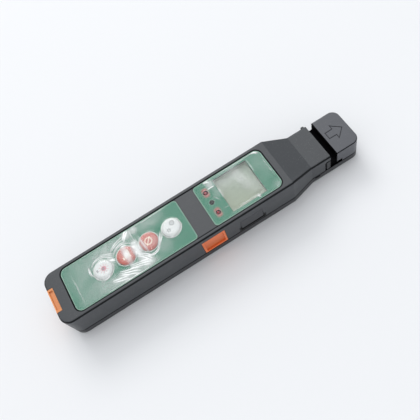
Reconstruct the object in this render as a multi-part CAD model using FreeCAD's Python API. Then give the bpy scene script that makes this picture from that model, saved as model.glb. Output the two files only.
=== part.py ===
"""Optical fibre identifier with a built-in visual fault locator.

A hand-held bar of moulded plastic. The fibre under test is laid across the slot near the head end. Pressing the
key in the side wall drives a jaw towards the head, which bends the fibre against an anvil where two photodiodes
see the light that leaks out. A red laser for finding faults comes out of a port in the tail, behind a hinged cover.

The frame is in millimetres: X runs from the tail to the head, Y across the case, Z up. The origin is on the
underside, at the middle of the length and width.
"""
import FreeCAD
import Part

import math
import os

V = FreeCAD.Vector
X_AXIS, Y_AXIS, Z_AXIS = V(1, 0, 0), V(0, 1, 0), V(0, 0, 1)

# ---- case: lengths from the tail, then widths and heights
shoulder_length = 15.2
neck_length = 13.0
slot_width = 4.4
head_length = 16.6
body_width = 34.4
neck_width = 26.2
head_width = 26.2
neck_height = 19.1
head_height = 18.0
parting_height = 5.7
wall = 2.0
roof = 2.0
floor = 2.0
tail_corner_radius = 6.5
head_corner_radius = 5.0
top_edge_radius = 1.2
head_edge_radius = 0.7
bottom_edge_radius = 1.4
lip_height = 0.9
lip_inset = 0.95
pry_notch_length = 3.6
pry_notch_height = 2.0
pry_notch_depth = 0.7
seam_height = 0.4
seam_depth = 0.35

# ---- clearances
slide_gap = 0.15
press_gap = 0.1
pin_gap = 0.05
seat_gap = 0.3

# ---- labels in their recesses
face_recess = 0.3
label_thickness = 0.5
label_from_wall = 2.8
label_border = 0.35
label_corner_radius = 4.0
label_inner_radius = 2.2
keypad_label_start = 10.95
keypad_label_length = 78.3
band_length = 11.75
display_label_length = 45.5
label_to_shoulder = 4.3
film_thickness = 0.1
film_margin = 0.4

# ---- keys
key_diameter = 11.0
key_from_label_start = 23.15
key_from_label_end = 10.15
key_rise = 0.6
key_dome = 0.6
key_dome_share = 0.75
key_flange = 0.9
key_flange_thickness = 0.8
key_stem_diameter = 3.2
key_travel = 0.4
key_names = ("key_laser", "key_tone", "key_zero", "key_power")

# ---- display and lamps
window_from_label = 12.65
window_length = 22.8
window_from_label_edge = 2.1
display_depth = 3.2
display_panel_thickness = 1.8
display_frame_wall = 0.9
lamp_from_label = 5.45
lamp_pitch_share = 0.272
lamp_diameter = 3.0
lamp_names = ("lamp_left", "lamp_tone", "lamp_right")

# ---- main board
board_thickness = 1.6
board_to_roof = 5.5
board_from_wall = 1.6
board_start = 26.0
board_end_from_shoulder = 10.3
board_post_diameter = 4.4
board_post_from_edge = 2.2
board_post_from_window = 4.4
board_screw_head_diameter = 3.6
board_screw_head_height = 1.0
board_screw_diameter = 1.6
board_screw_length = 5.0
switch_size = 6.0
switch_height = 2.1
switch_button_diameter = 3.4
switch_button_height = 0.5

# ---- trigger key in the near wall, and the wedge that drives the jaw
trigger_from_tail = 88.65
trigger_length = 15.2
trigger_below_roof = 2.2
trigger_above_parting = 0.4
trigger_travel = 3.0
trigger_rim = 1.3
trigger_sink = 1.1
trigger_flange = 1.3
trigger_flange_thickness = 1.2
wedge_gain = 1.35
wedge_tip = 2.4
wedge_thickness = 4.0
wedge_reach = 6.8
wedge_back = 3.5
rod_diameter = 3.0
rod_height = 10.0
rod_offset = 6.8
follower_width = 4.0
follower_length = 8.5
spring_wire = 0.5
spring_turns = 5
coil_sides = 6
coil_steps = 12
spring_from_follower = 11.0
bulkhead_thickness = 2.0

# ---- jaw and anvil
jaw_length = 17.0
jaw_nose_radius = 22.0
jaw_height = 10.5
jaw_lift = 0.4
ear_length = 2.9
ear_height = 7.3
ear_thickness = 1.15
ear_reach = 0.2
ear_edge_radius = 0.4
ear_gap = 0.9
lug_length = 2.2
lug_reach = 2.1
lug_height = 6.4
lug_rise = 2.0
nose_reach = 1.1
undercut_depth = 4.0
undercut_height = 3.1
slot_floor_height = 7.5
lining_thickness = 0.8
lining_below_top = 0.9
anvil_width = 16.2
anvil_height = 2.5
anvil_hollow = 0.4
anvil_flange = 1.2
photodiode_width = 2.0
photodiode_length = 1.8
photodiode_pitch = 7.2
light_hole_diameter = 1.0
detector_board_thickness = 1.2
flex_width = 6.0
flex_thickness = 0.3

# ---- laser port and its cover in the tail
cover_width = 15.2
cover_depth = 3.7
cover_floor = 7.0
cover_pin_diameter = 1.5
cover_scoop = 0.9
cover_rim = 1.3
port_height = 17.0
port_bore_diameter = 2.54
port_sleeve_diameter = 6.4
port_sleeve_length = 8.0
port_flange_diameter = 8.6
port_flange_thickness = 1.2
laser_diameter = 6.4
laser_length = 13.0
laser_tail_length = 3.0

# ---- flap over the service socket
flap_from_shoulder = 36.8
flap_length = 14.8
flap_height = 8.7
flap_above_parting = 2.7
flap_thickness = 1.3
flap_nail_gap = 0.8
flap_nail_height = 4.0
flap_nail_side = 0.45
flap_pin_diameter = 0.8
flap_pin_length = 0.9
socket_width = 7.6
socket_height = 2.8
socket_depth = 5.4

# ---- batteries, size AAA, and their bay
cell_diameter = 10.5
cell_length = 43.3
cell_nub_diameter = 3.8
cell_nub_length = 1.2
cell_edge = 0.5
cell_pitch = 11.2
cell_lift = 0.3
bay_start = 23.7
bay_wall = 1.0
bay_side = 1.15
cell_spring_room = 5.3
cell_spring_diameter = 6.4
cell_spring_wire = 0.6
cell_spring_turns = 3
contact_thickness = 0.4
contact_size = 8.0
tab_width = 2.0
door_thickness = 1.7
door_gap = 0.15
door_lift = 0.25
door_pin_diameter = 1.2
door_pin_length = 0.8
door_hinge_from_bay_end = 1.2

# ---- small pieces on and near the board
processor_size = 10.0
processor_from_end = 22.0
processor_thickness = 1.4
sounder_diameter = 9.0
sounder_height = 4.5
sounder_from_end = 6.5
sounder_from_edge = 5.3
sound_slot_length = 6.0
sound_slot_width = 1.0
sound_slot_pitch = 2.2
lead_diameter = 0.6
lead_pitch = 1.8
lead_length = 3.6

# ---- rating plate, blank, in the underside
plate_from_tail = 106.0
plate_length = 24.0
plate_width = 17.0
plate_thickness = 0.2
plate_sink = 0.3

# ---- arrow cut in the top of the hook
arrow_from_slot = 2.2
arrow_length = 11.0
arrow_width = 11.4
arrow_shaft_width = 5.2
arrow_shaft_share = 0.45
arrow_line = 0.55
arrow_depth = 0.25

# ---- screws
screw_diameter = 2.2
screw_head_diameter = 4.0
screw_head_height = 1.6
screw_length = 12.0
head_screw_length = 9.0
screw_sink = 0.8
boss_diameter = 5.6
boss_from_tail = 10.0
boss_from_shoulder = 6.8
boss_from_wall = 3.2
head_boss_from_end = 4.9
head_boss_from_wall = 3.15
head_boss_diameter = 4.4

# ---- places that follow from the sizes above
body_length = keypad_label_start + keypad_label_length + band_length + display_label_length + label_to_shoulder
overall_length = body_length + shoulder_length + neck_length + slot_width + head_length
x_tail = -overall_length / 2
x_shoulder = x_tail + body_length
x_neck = x_shoulder + shoulder_length
x_slot = x_neck + neck_length
x_head = x_slot + slot_width
x_end = x_head + head_length
near_wall = -body_width / 2
# the height is stacked up from the cells, the board and the keys
cell_z = floor + cell_lift + cell_diameter / 2
bay_top = cell_z + cell_diameter / 2 + seat_gap
board_under = bay_top + bay_wall + board_screw_head_height + seat_gap
board_top = board_under + board_thickness
roof_under = board_top + board_to_roof
case_height = roof_under + roof
label_floor = case_height - face_recess - label_thickness
label_top = label_floor + label_thickness
label_width = body_width - 2 * label_from_wall
keypad_x = x_tail + keypad_label_start
band_x = keypad_x + keypad_label_length
display_x = band_x + band_length
key_pitch = (keypad_label_length - key_from_label_start - key_from_label_end) / (len(key_names) - 1)
window_x = display_x + window_from_label
window_width = label_width - 2 * window_from_label_edge
board_width = body_width - 2 * (wall + board_from_wall)
lamp_pitch = lamp_pitch_share * board_width
boss_offset = body_width / 2 - wall - boss_from_wall
head_boss_offset = head_width / 2 - wall - head_boss_from_wall
bay_x = x_tail + bay_start
bay_length = cell_length + cell_nub_length + cell_spring_room + 2 * contact_thickness
bay_half = cell_pitch / 2 + cell_diameter / 2 + bay_side
trigger_x = x_tail + trigger_from_tail
trigger_z = parting_height + trigger_above_parting
trigger_height = roof_under - trigger_below_roof - trigger_z
flap_x = x_shoulder - flap_from_shoulder
x_board_end = x_shoulder - board_end_from_shoulder
flap_z = parting_height + flap_above_parting
jaw_floor = parting_height + jaw_lift
slot_floor = parting_height + slot_floor_height
jaw_travel = trigger_travel * wedge_gain
tongue_floor = slot_floor + slide_gap
ear_top = tongue_floor + 1.1
flap_hinge = V(0, near_wall + flap_thickness / 2, flap_z + flap_height)
cover_hinge = V(x_tail + cover_depth / 2, 0, cover_floor + cover_depth / 2)
door_hinge = V(bay_x + bay_length - door_hinge_from_bay_end, 0, door_lift + door_thickness / 2)
slope_angle = math.atan2(case_height - neck_height, shoulder_length)
taper_angle = math.atan2((body_width - neck_width) / 2, shoulder_length)


# ---- shapes used by several pieces
def block(x0, x1, y0, y1, z0, z1):
    return Part.makeBox(x1 - x0, y1 - y0, z1 - z0, V(x0, y0, z0))


def rod(diameter, length, base, direction=Z_AXIS):
    return Part.makeCylinder(diameter / 2, length, base, direction)


def prism(points, height, direction):
    """Straight prism on a closed outline of points."""
    face = Part.Face(Part.makePolygon(points + [points[0]]))
    return face.extrude(direction * height)


def rounded_block(x0, x1, y0, y1, z0, z1, low_x_radius, high_x_radius):
    """Block whose upright edges are rounded, with one radius at each end of X."""
    shape = block(x0, x1, y0, y1, z0, z1)
    for x, radius in ((x0, low_x_radius), (x1, high_x_radius)):
        if radius > 0:
            edges = [e for e in shape.Edges if is_upright(e) and abs(e.Vertexes[0].X - x) < 1e-6]
            shape = shape.makeFillet(radius, edges)
    return shape


def is_upright(edge):
    first, last = edge.Vertexes[0].Point, edge.Vertexes[-1].Point
    return abs(first.x - last.x) < 1e-6 and abs(first.y - last.y) < 1e-6 and abs(first.z - last.z) > 1e-6


def joined(shapes):
    whole = shapes[0].fuse(shapes[1:]) if len(shapes) > 1 else shapes[0]
    return whole.removeSplitter()


def grouped(shapes):
    return Part.makeCompound(shapes)


def coil(start, length, mean_radius, wire, turns):
    """Open compression spring along X from start, swept through a ring of sections on each turn."""
    sections = []
    for n in range(turns * coil_steps + 1):
        turn = 2 * math.pi * n / coil_steps
        advance = wire / 2 + (length - wire) * n / (turns * coil_steps)
        ring = []
        for k in range(coil_sides):
            around = 2 * math.pi * (k + 0.5) / coil_sides
            radius = mean_radius + wire / 2 * math.cos(around)
            ring.append(start + V(advance + wire / 2 * math.sin(around), radius * math.cos(turn), radius * math.sin(turn)))
        sections.append(Part.makePolygon(ring + [ring[0]]))
    return Part.makeLoft(sections, True, True)


# ---- the outside form of the case
def case_form(inset, z_low, z_high, drop):
    """The bar from the tail to the slot: inset from the walls, and drop below the outer roof."""
    half_body, half_neck = body_width / 2 - inset, neck_width / 2 - inset
    taper_shift = inset * math.tan(taper_angle / 2)
    x0, x1 = x_tail + inset, x_slot
    xs, xn = x_shoulder - taper_shift, x_neck - taper_shift
    plan = [V(x0, -half_body, z_low), V(xs, -half_body, z_low), V(xn, -half_neck, z_low), V(x1, -half_neck, z_low),
            V(x1, half_neck, z_low), V(xn, half_neck, z_low), V(xs, half_body, z_low), V(x0, half_body, z_low)]
    bar = prism(plan, z_high - z_low, Z_AXIS)
    corners = [e for e in bar.Edges if is_upright(e) and abs(e.Vertexes[0].X - x0) < 1e-6]
    bar = bar.makeFillet(tail_corner_radius - inset, corners)
    top, neck_top = case_height - drop, neck_height - drop
    slope_shift = drop * math.tan(slope_angle / 2)
    side = [V(x0, near_wall, z_low), V(x0, near_wall, top), V(x_shoulder - slope_shift, near_wall, top),
            V(x_neck - slope_shift, near_wall, neck_top), V(x1, near_wall, neck_top), V(x1, near_wall, z_low)]
    return bar.common(prism(side, body_width, Y_AXIS))


def case_outside():
    """Outside of the bar above the parting line, with its roof edges rounded."""
    half = body_width / 2
    body = rounded_block(x_tail, x_shoulder, -half, half, parting_height, case_height, tail_corner_radius, 0)
    rim = [e for e in body.Edges if all(v.Z > case_height - 1e-6 for v in e.Vertexes) and not at_shoulder(e)]
    body = body.makeFillet(top_edge_radius, rim)
    sections = [roof_section(x_shoulder, half, case_height), roof_section(x_neck, neck_width / 2, neck_height),
                roof_section(x_slot, neck_width / 2, neck_height)]
    return body.fuse(Part.makeLoft(sections, True, True)).removeSplitter()


def at_shoulder(edge):
    return all(v.X > x_shoulder - 1e-6 for v in edge.Vertexes)


def roof_section(x, half, top):
    """Outline across the bar at x, square at the foot and rounded at the roof."""
    r = top_edge_radius
    k = r * (1 - math.sqrt(0.5))
    low = parting_height
    near = Part.Arc(V(x, -half, top - r), V(x, -half + k, top - k), V(x, -half + r, top)).toShape()
    far = Part.Arc(V(x, half - r, top), V(x, half - k, top - k), V(x, half, top - r)).toShape()
    return Part.Wire([Part.makeLine(V(x, -half, low), V(x, -half, top - r)), near,
                      Part.makeLine(V(x, -half + r, top), V(x, half - r, top)), far,
                      Part.makeLine(V(x, half, top - r), V(x, half, low)),
                      Part.makeLine(V(x, half, low), V(x, -half, low))])


def screw_places():
    rows = (x_tail + boss_from_tail, x_shoulder - boss_from_shoulder)
    body = [(x, side * boss_offset) for x in rows for side in (-1, 1)]
    head = [(x_end - head_boss_from_end, side * head_boss_offset) for side in (-1, 1)]
    return body, head


def key_places():
    return [keypad_x + key_from_label_start + n * key_pitch for n in range(len(key_names))]


def lamp_places():
    return [(display_x + lamp_from_label, side * lamp_pitch) for side in (1, 0, -1)]


def board_post_places():
    rows = (key_places()[0] + key_pitch / 2, window_x - board_post_from_window)
    return [(x, side * (board_width / 2 - board_post_from_edge)) for x in rows for side in (-1, 1)]


def upper_shell():
    shell = case_outside()
    hollow = case_form(wall, parting_height - 1, case_height - roof, roof)
    shell = shell.cut(hollow)
    # thicker wall behind the pocket of the laser port's cover
    pocket_half = cover_width / 2 + slide_gap
    pocket_back = x_tail + cover_depth + slide_gap
    shell = shell.fuse(block(x_tail + wall / 2, pocket_back + wall, -pocket_half - wall, pocket_half + wall,
                             parting_height, roof_under + roof / 2))
    bosses = [rod(boss_diameter, roof_under - parting_height + 0.5, V(x, y, parting_height)) for x, y in screw_places()[0]]
    posts = [rod(board_post_diameter, roof_under - board_top + 0.5, V(x, y, board_top)) for x, y in board_post_places()]
    shell = shell.fuse(bosses + posts)
    cuts = [block(x_tail - 1, pocket_back, -pocket_half, pocket_half, cover_floor - slide_gap, case_height + 1),
            rod(cover_pin_diameter + 2 * pin_gap, 2 * (pocket_half + wall) - 1, V(cover_hinge.x, -pocket_half - wall + 0.5, cover_hinge.z), Y_AXIS),
            rod(port_sleeve_diameter + 2 * pin_gap, 4 * wall, V(pocket_back - wall, 0, port_height), X_AXIS)]
    cuts += label_recess()
    cuts += [rod(key_diameter + 2 * slide_gap, 3 * roof, V(x, 0, roof_under - roof)) for x in key_places()]
    cuts += [rod(lamp_diameter + 2 * press_gap, 3 * roof, V(x, y, roof_under - roof)) for x, y in lamp_places()]
    cuts.append(block(window_x, window_x + window_length, -window_width / 2, window_width / 2, roof_under - 1, case_height))
    cuts.append(block(trigger_x - slide_gap, trigger_x + trigger_length + slide_gap, near_wall - 1, near_wall + wall + 1,
                      parting_height - 1, trigger_z + trigger_height + slide_gap))
    cuts += flap_recess()
    cuts += ear_openings()
    for x, y in screw_places()[0]:
        cuts.append(rod(screw_diameter + 2 * pin_gap, screw_length, V(x, y, parting_height)))
    for x, y in board_post_places():
        cuts.append(rod(board_screw_diameter + 2 * pin_gap, board_screw_length - board_thickness + seat_gap, V(x, y, board_top)))
    cuts += [lip_groove(), seam()]
    return shell.cut(cuts).removeSplitter()


def label_recess():
    half = label_width / 2 + label_border
    x0, x1 = keypad_x - label_border, display_x + display_label_length + label_border
    whole = rounded_block(x0, x1, -half, half, case_height - face_recess, case_height + 1,
                          label_corner_radius + label_border, label_corner_radius + label_border)
    keypad = rounded_block(x0, band_x + label_border, -half, half, label_floor, case_height,
                           label_corner_radius + label_border, label_inner_radius + label_border)
    display = rounded_block(display_x - label_border, x1, -half, half, label_floor, case_height,
                            label_inner_radius + label_border, label_corner_radius + label_border)
    return [whole, keypad, display]


def flap_recess():
    """Pocket for the flap, wider and deeper at its foot for a fingernail, and the hole through to the socket."""
    x0, x1 = flap_x, flap_x + flap_length
    inner = near_wall + flap_thickness + slide_gap
    top = flap_hinge.z + flap_thickness / 2 + slide_gap
    pocket = block(x0 - slide_gap, x1 + slide_gap, near_wall - 1, inner, flap_z, top)
    nail = block(x0 - flap_nail_side, x1 + flap_nail_side, near_wall - 1, inner, flap_z - flap_nail_gap, flap_z + flap_nail_height)
    middle = (x0 + x1) / 2
    hole = block(middle - socket_width / 2 - seat_gap, middle + socket_width / 2 + seat_gap, near_wall, near_wall + 2 * wall,
                 board_under - socket_height - seat_gap, board_under + seat_gap)
    reach = flap_length + 2 * (flap_pin_length + pin_gap)
    pins = rod(flap_pin_diameter + 2 * pin_gap, reach, V(middle - reach / 2, flap_hinge.y, flap_hinge.z), X_AXIS)
    return [pocket, nail, hole, pins]


def ear_openings():
    """Notches in the neck's walls, open to the slot, that the jaw's ears stand in."""
    low, high = parting_height - 1, ear_top + ear_gap
    x0 = x_slot - ear_length - ear_gap
    cuts = []
    for side in (-1, 1):
        y0, y1 = sorted((side * (neck_width / 2 - 2 * wall), side * (neck_width / 2 + 1)))
        notch = block(x0, x_slot + 1, y0, y1, low, high)
        corner = [e for e in notch.Edges if runs_across(e) and abs(e.Vertexes[0].X - x0) < 1e-6 and e.Vertexes[0].Z > high - 1e-6]
        cuts.append(notch.makeFillet(1.5, corner))
    return cuts


def runs_across(edge):
    first, last = edge.Vertexes[0].Point, edge.Vertexes[-1].Point
    return abs(first.x - last.x) < 1e-6 and abs(first.z - last.z) < 1e-6


def tray_plan(inset, z_low, z_high):
    """Plan of the lower shell: the bar, the bridge under the slot and the head, in one piece."""
    half_body, half_neck, half_head = (w / 2 - inset for w in (body_width, neck_width, head_width))
    shift = inset * math.tan(taper_angle / 2)
    x0, x1 = x_tail + inset, x_end - inset
    right = [V(x0, -half_body, z_low), V(x_shoulder - shift, -half_body, z_low), V(x_neck - shift, -half_neck, z_low),
             V(x_slot, -half_neck, z_low), V(x_slot, -half_head, z_low), V(x1, -half_head, z_low)]
    left = [V(p.x, -p.y, p.z) for p in reversed(right)]
    tray = prism(right + left, z_high - z_low, Z_AXIS)
    for x, radius in ((x0, tail_corner_radius - inset), (x1, head_corner_radius - inset)):
        corners = [e for e in tray.Edges if is_upright(e) and abs(e.Vertexes[0].X - x) < 1e-6]
        tray = tray.makeFillet(radius, corners)
    return tray


def lip():
    """Raised lip inside the lower wall, left out where the key, the jaw and the hook's pocket need the room."""
    low, high = parting_height - 0.5, parting_height + lip_height
    ring = tray_plan(lip_inset, low, high).cut(tray_plan(wall, low - 1, high + 1))
    room = wall + 1
    wide = body_width / 2 + 1
    gaps = [block(x_slot - ear_length - ear_gap - press_gap, anvil_back(), -wide, wide, low - 1, high + 1),
            block(trigger_x - trigger_flange - press_gap, trigger_x + trigger_length + trigger_flange + press_gap,
                  near_wall - 1, near_wall + room, parting_height, high + 1),
            block(x_tail - 1, x_tail + 2 * cover_depth, -cover_width / 2 - room, cover_width / 2 + room, parting_height, high + 1)]
    return ring.cut(gaps)


def lip_groove():
    """Room for the lip in the walls above it."""
    low, high = parting_height - 1, parting_height + lip_height + press_gap
    return tray_plan(lip_inset - press_gap, low, high).cut(tray_plan(wall + press_gap, low - 1, high + 1))


def seam():
    """Shallow groove round the foot of the walls above the parting line, so that the joint reads as an even shadow."""
    return tray_plan(-1, parting_height, parting_height + seam_height).cut(
        tray_plan(seam_depth, parting_height - 1, parting_height + seam_height + 1))


def lower_shell():
    outer = tray_plan(0, 0, parting_height)
    rim = [e for e in outer.Edges if all(abs(v.Z) < 1e-6 for v in e.Vertexes)]
    outer = outer.makeFillet(bottom_edge_radius, rim)
    shell = outer.cut(tray_plan(wall, floor, parting_height + 1))
    inside = tray_plan(wall / 2, 0.5, parting_height)
    bridge = block(x_slot - wall, x_head + wall, -neck_width / 2, neck_width / 2, 0.5, parting_height).common(inside)
    adds = [bridge, lip()]
    # the bay that holds the cells, open at the underside
    adds.append(block(bay_x - bay_wall, bay_x + bay_length + bay_wall, -bay_half - bay_wall, bay_half + bay_wall,
                      floor / 2, bay_top + bay_wall))
    body_bosses, head_bosses = screw_places()
    adds += [rod(boss_diameter + 0.8, parting_height - 0.5, V(x, y, 0.5)) for x, y in body_bosses]
    adds += [rod(boss_diameter + 0.8, parting_height - 0.5, V(x, y, 0.5)) for x, y in head_bosses]
    # rails under the jaw and two walls that guide the push rod
    for side in (-1, 1):
        y0, y1 = sorted((side * 6.6, side * 9.4))
        adds.append(block(x_slot - jaw_length - 4, x_slot - 1, y0, y1, floor / 2, jaw_floor - press_gap))
    for x in bulkhead_places():
        adds.append(block(x, x + bulkhead_thickness, -rod_offset - 3, -rod_offset + 3, floor / 2, rod_height + 2.6))
    shell = shell.fuse(adds)
    cuts = [block(bay_x, bay_x + bay_length, -bay_half, bay_half, -1, bay_top)]
    reach = 2 * (bay_half + door_pin_length)
    cuts.append(rod(door_pin_diameter + 2 * pin_gap, reach, V(door_hinge.x, -reach / 2, door_hinge.z), Y_AXIS))
    for x, y in body_bosses + head_bosses:
        cuts.append(rod(screw_diameter + 0.6, parting_height + 1, V(x, y, -0.5)))
        cuts.append(rod(screw_head_diameter + 0.4, screw_head_height + screw_sink + 1, V(x, y, -1)))
    for x in bulkhead_places():
        cuts.append(rod(rod_diameter + 2 * press_gap, bulkhead_thickness + 2, V(x - 1, -rod_offset, rod_height), X_AXIS))
    for side in (-1, 1):
        y = side * cell_pitch / 2
        cuts.append(block(bay_x + bay_length - 2 * contact_thickness, bay_x + bay_length, y - tab_width / 2 - press_gap,
                          y + tab_width / 2 + press_gap, bay_top - 1, bay_top + bay_wall + 1))
    notch_x = x_neck + 2.0
    cuts.append(block(notch_x, notch_x + pry_notch_length, -neck_width / 2 - 1, -neck_width / 2 + pry_notch_depth,
                      parting_height - pry_notch_height, parting_height))
    plate_x = x_tail + plate_from_tail - press_gap
    plate_half = plate_width / 2 + press_gap
    cuts.append(rounded_block(plate_x, plate_x + plate_length + 2 * press_gap, -plate_half, plate_half, -1, plate_sink,
                              1.0 + press_gap, 1.0 + press_gap))
    sound_x, sound_y = sounder_place()
    for n in (-1, 0, 1):
        x = sound_x + n * sound_slot_pitch
        cuts.append(block(x - sound_slot_width / 2, x + sound_slot_width / 2, sound_y - sound_slot_length / 2,
                          sound_y + sound_slot_length / 2, -1, floor + 1))
    tunnel_half = flex_width / 2 + 0.6
    cuts.append(block(x_slot - wall - 1, x_head + wall + 1, -tunnel_half, tunnel_half, floor, floor + 1.6))
    return shell.cut(cuts).removeSplitter()


def bulkhead_places():
    first = follower_x() + follower_length + spring_from_follower
    return [first, x_shoulder - 1.0]


def wedge_line(y):
    """X of the trigger's slanted face at y, at rest."""
    tip_y = trigger_back() + wedge_reach
    return trigger_x + wedge_back + wedge_tip + wedge_gain * (tip_y - y)


def trigger_back():
    """Inner face of the trigger's flange at rest."""
    return near_wall + wall + slide_gap + trigger_flange_thickness


def follower_x():
    """Where the follower's slanted face ends, at its inner edge."""
    return wedge_line(-rod_offset + rod_diameter / 2 - 0.5) + 0.1


def trigger_key():
    x0, x1 = trigger_x, trigger_x + trigger_length
    z0, z1 = trigger_z, trigger_z + trigger_height
    face = near_wall
    pad = block(x0, x1, face, near_wall + wall + slide_gap + 0.1, z0, z1)
    outer = [e for e in pad.Edges if abs(e.Vertexes[0].Y - face) < 1e-6 and abs(e.Vertexes[-1].Y - face) < 1e-6]
    pad = pad.makeFillet(0.35, outer)
    # the sunk panel leans inwards towards the top, which leaves a ledge for the thumb at the foot
    panel = [V(x0 + trigger_rim, face - 1, z0 + trigger_rim), V(x0 + trigger_rim, face + trigger_sink, z0 + trigger_rim),
             V(x0 + trigger_rim, face + 0.45 * trigger_sink, z1 - trigger_rim / 2), V(x0 + trigger_rim, face - 1, z1 - trigger_rim / 2)]
    pad = pad.cut(prism(panel, trigger_length - 2 * trigger_rim, X_AXIS))
    y_flange = near_wall + wall + slide_gap
    flange = block(x0 - trigger_flange, x1 + trigger_flange, y_flange, trigger_back(), z0 + 0.2, z1 + trigger_flange)
    tip_y = trigger_back() + wedge_reach
    low = rod_height - wedge_thickness / 2
    wedge = [V(x0 + wedge_back, trigger_back() - 0.1, low), V(x0 + wedge_back, tip_y, low), V(wedge_line(tip_y), tip_y, low),
             V(wedge_line(trigger_back() - 0.1), trigger_back() - 0.1, low)]
    return joined([pad, flange, prism(wedge, wedge_thickness, Z_AXIS)])


def push_rod():
    """Steel rod that ends flush in the follower and in the jaw."""
    x0 = follower_x() + follower_length - 3.0
    x1 = x_slot - jaw_length + 5.0
    return rod(rod_diameter, x1 - x0, V(x0, -rod_offset, rod_height), X_AXIS)


def follower():
    """Block on the rod's end that the trigger's wedge pushes."""
    low = rod_height - wedge_thickness / 2
    near, far = -rod_offset - follower_width * 0.75, -rod_offset + rod_diameter / 2 - 0.5
    run = 0.1
    head = [V(wedge_line(far) + run, far, low), V(wedge_line(near) + run, near, low),
            V(follower_x() + follower_length, near, low), V(follower_x() + follower_length, far, low)]
    body = prism(head, wedge_thickness, Z_AXIS)
    hub = rod(wedge_thickness, 4.5, V(follower_x() + follower_length - 4.5, -rod_offset, rod_height), X_AXIS)
    seat = rod(rod_diameter, 3.0, V(follower_x() + follower_length - 3.0, -rod_offset, rod_height), X_AXIS)
    return joined([body, hub]).cut(seat)


def return_spring():
    start = V(follower_x() + follower_length + press_gap / 2, -rod_offset, rod_height)
    return coil(start, spring_from_follower - press_gap, rod_diameter / 2 + spring_wire, spring_wire, spring_turns)


def jaw_block():
    """Sliding jaw: a tongue over the slot's floor with a rounded nose, an ear on each side and a lug on the far ear."""
    x0, x1 = x_slot - jaw_length, x_slot
    half = neck_width / 2 - wall - slide_gap
    z0, z1 = jaw_floor, jaw_floor + jaw_height
    back = x1 - jaw_travel - slide_gap - press_gap
    body = block(x0, back, -half, half, z0, z1)
    tongue = block(back - 1, x1 - nose_reach, -half, half, tongue_floor, z1)
    nose = block(back, x1, -half, half, tongue_floor, z1)
    nose = nose.common(rod(2 * jaw_nose_radius, jaw_height, V(x1 - jaw_nose_radius, 0, z0)))
    ear_half = neck_width / 2 + ear_reach
    arms = block(x1 - ear_length, x1 - nose_reach, -ear_half + 0.3, ear_half - 0.3, tongue_floor, ear_top)
    ears = []
    for side in (-1, 1):
        y0, y1 = sorted((side * (ear_half - ear_thickness), side * ear_half))
        ear = block(x1 - ear_length, x1 - press_gap, y0, y1, ear_top - ear_height, ear_top)
        ears.append(ear.makeFillet(ear_edge_radius, [e for e in ear.Edges if is_upright(e) and abs(e.Vertexes[0].Y) > ear_half - 1e-6]))
    lug_top = ear_top + lug_rise
    lug = block(x1 - press_gap - lug_length, x1 - press_gap, neck_width / 2 + slide_gap, neck_width / 2 + lug_reach,
                lug_top - lug_height, lug_top)
    lug = lug.makeFillet(2 * ear_edge_radius, [e for e in lug.Edges if is_upright(e) and e.Vertexes[0].Y > ear_half + 0.5])
    hollow = block(x0 + 2.0, x1 - 6.5, -half + 6.6, half - 2.0, z0 - 1, z1 - 2.0)
    seat = rod(rod_diameter, 6.0, V(x0 - 1.0, -rod_offset, rod_height), X_AXIS)
    return joined([body, tongue, nose, arms, lug] + ears).cut([hollow, seat])


def slot_block():
    """Black block under the hook: the floor of the fibre slot, its foot, and the lining of the hook's face."""
    half = neck_width / 2 + ear_reach - ear_thickness - slide_gap
    front = x_head - press_gap
    foot = block(x_slot + press_gap, x_head + undercut_depth - press_gap, -half, half, parting_height,
                 parting_height + undercut_height - press_gap)
    stem = block(x_slot + press_gap, front, -half, half, parting_height, slot_floor)
    lining = block(front - 0.4, x_head + lining_thickness, -half, half, slot_floor - 1.1, head_height - lining_below_top)
    above = block(front - 1, front, -half - 1, half + 1, slot_floor, case_height)
    low, high = anvil_levels()
    seat = anvil_width / 2 + press_gap
    window = block(front - 1, x_head + 2 * lining_thickness, -seat, seat, low - press_gap, high + press_gap)
    return joined([foot, stem, lining]).cut([above, window])


def head_cap():
    """Hook at the head end: a box with a pocket cut under its slot face."""
    half = head_width / 2
    cap = rounded_block(x_head, x_end, -half, half, parting_height, head_height, 0, head_corner_radius)
    rim = [e for e in cap.Edges if all(v.Z > head_height - 1e-6 for v in e.Vertexes)]
    cap = cap.makeFillet(head_edge_radius, rim)
    back = anvil_back()
    inner = rounded_block(back, x_end - wall, -half + wall, half - wall, parting_height - 1, head_height - roof, 0,
                          head_corner_radius - wall)
    undercut = block(x_head - 1, x_head + undercut_depth, -half - 1, half + 1, parting_height - 1,
                     parting_height + undercut_height)
    recess = block(x_head - 1, x_head + lining_thickness + press_gap, -half + 0.6, half - 0.6, slot_floor - 1.1 - press_gap,
                   head_height - lining_below_top + press_gap)
    low, high = anvil_levels()
    seat = anvil_width / 2 + press_gap
    opening = block(x_head, back + 1, -seat, seat, low - press_gap, high + press_gap)
    bosses = [rod(head_boss_diameter, head_height - roof - parting_height + 0.5, V(x, y, parting_height))
              for x, y in screw_places()[1]]
    cap = cap.cut([inner, undercut, recess, opening]).fuse(bosses)
    pilots = [rod(screw_diameter + 2 * pin_gap, head_screw_length, V(x, y, parting_height)) for x, y in screw_places()[1]]
    return cap.cut(pilots + [lip_groove(), seam(), arrow_cut()]).removeSplitter()


def anvil_levels():
    low = tongue_floor
    return low, low + anvil_height


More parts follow.
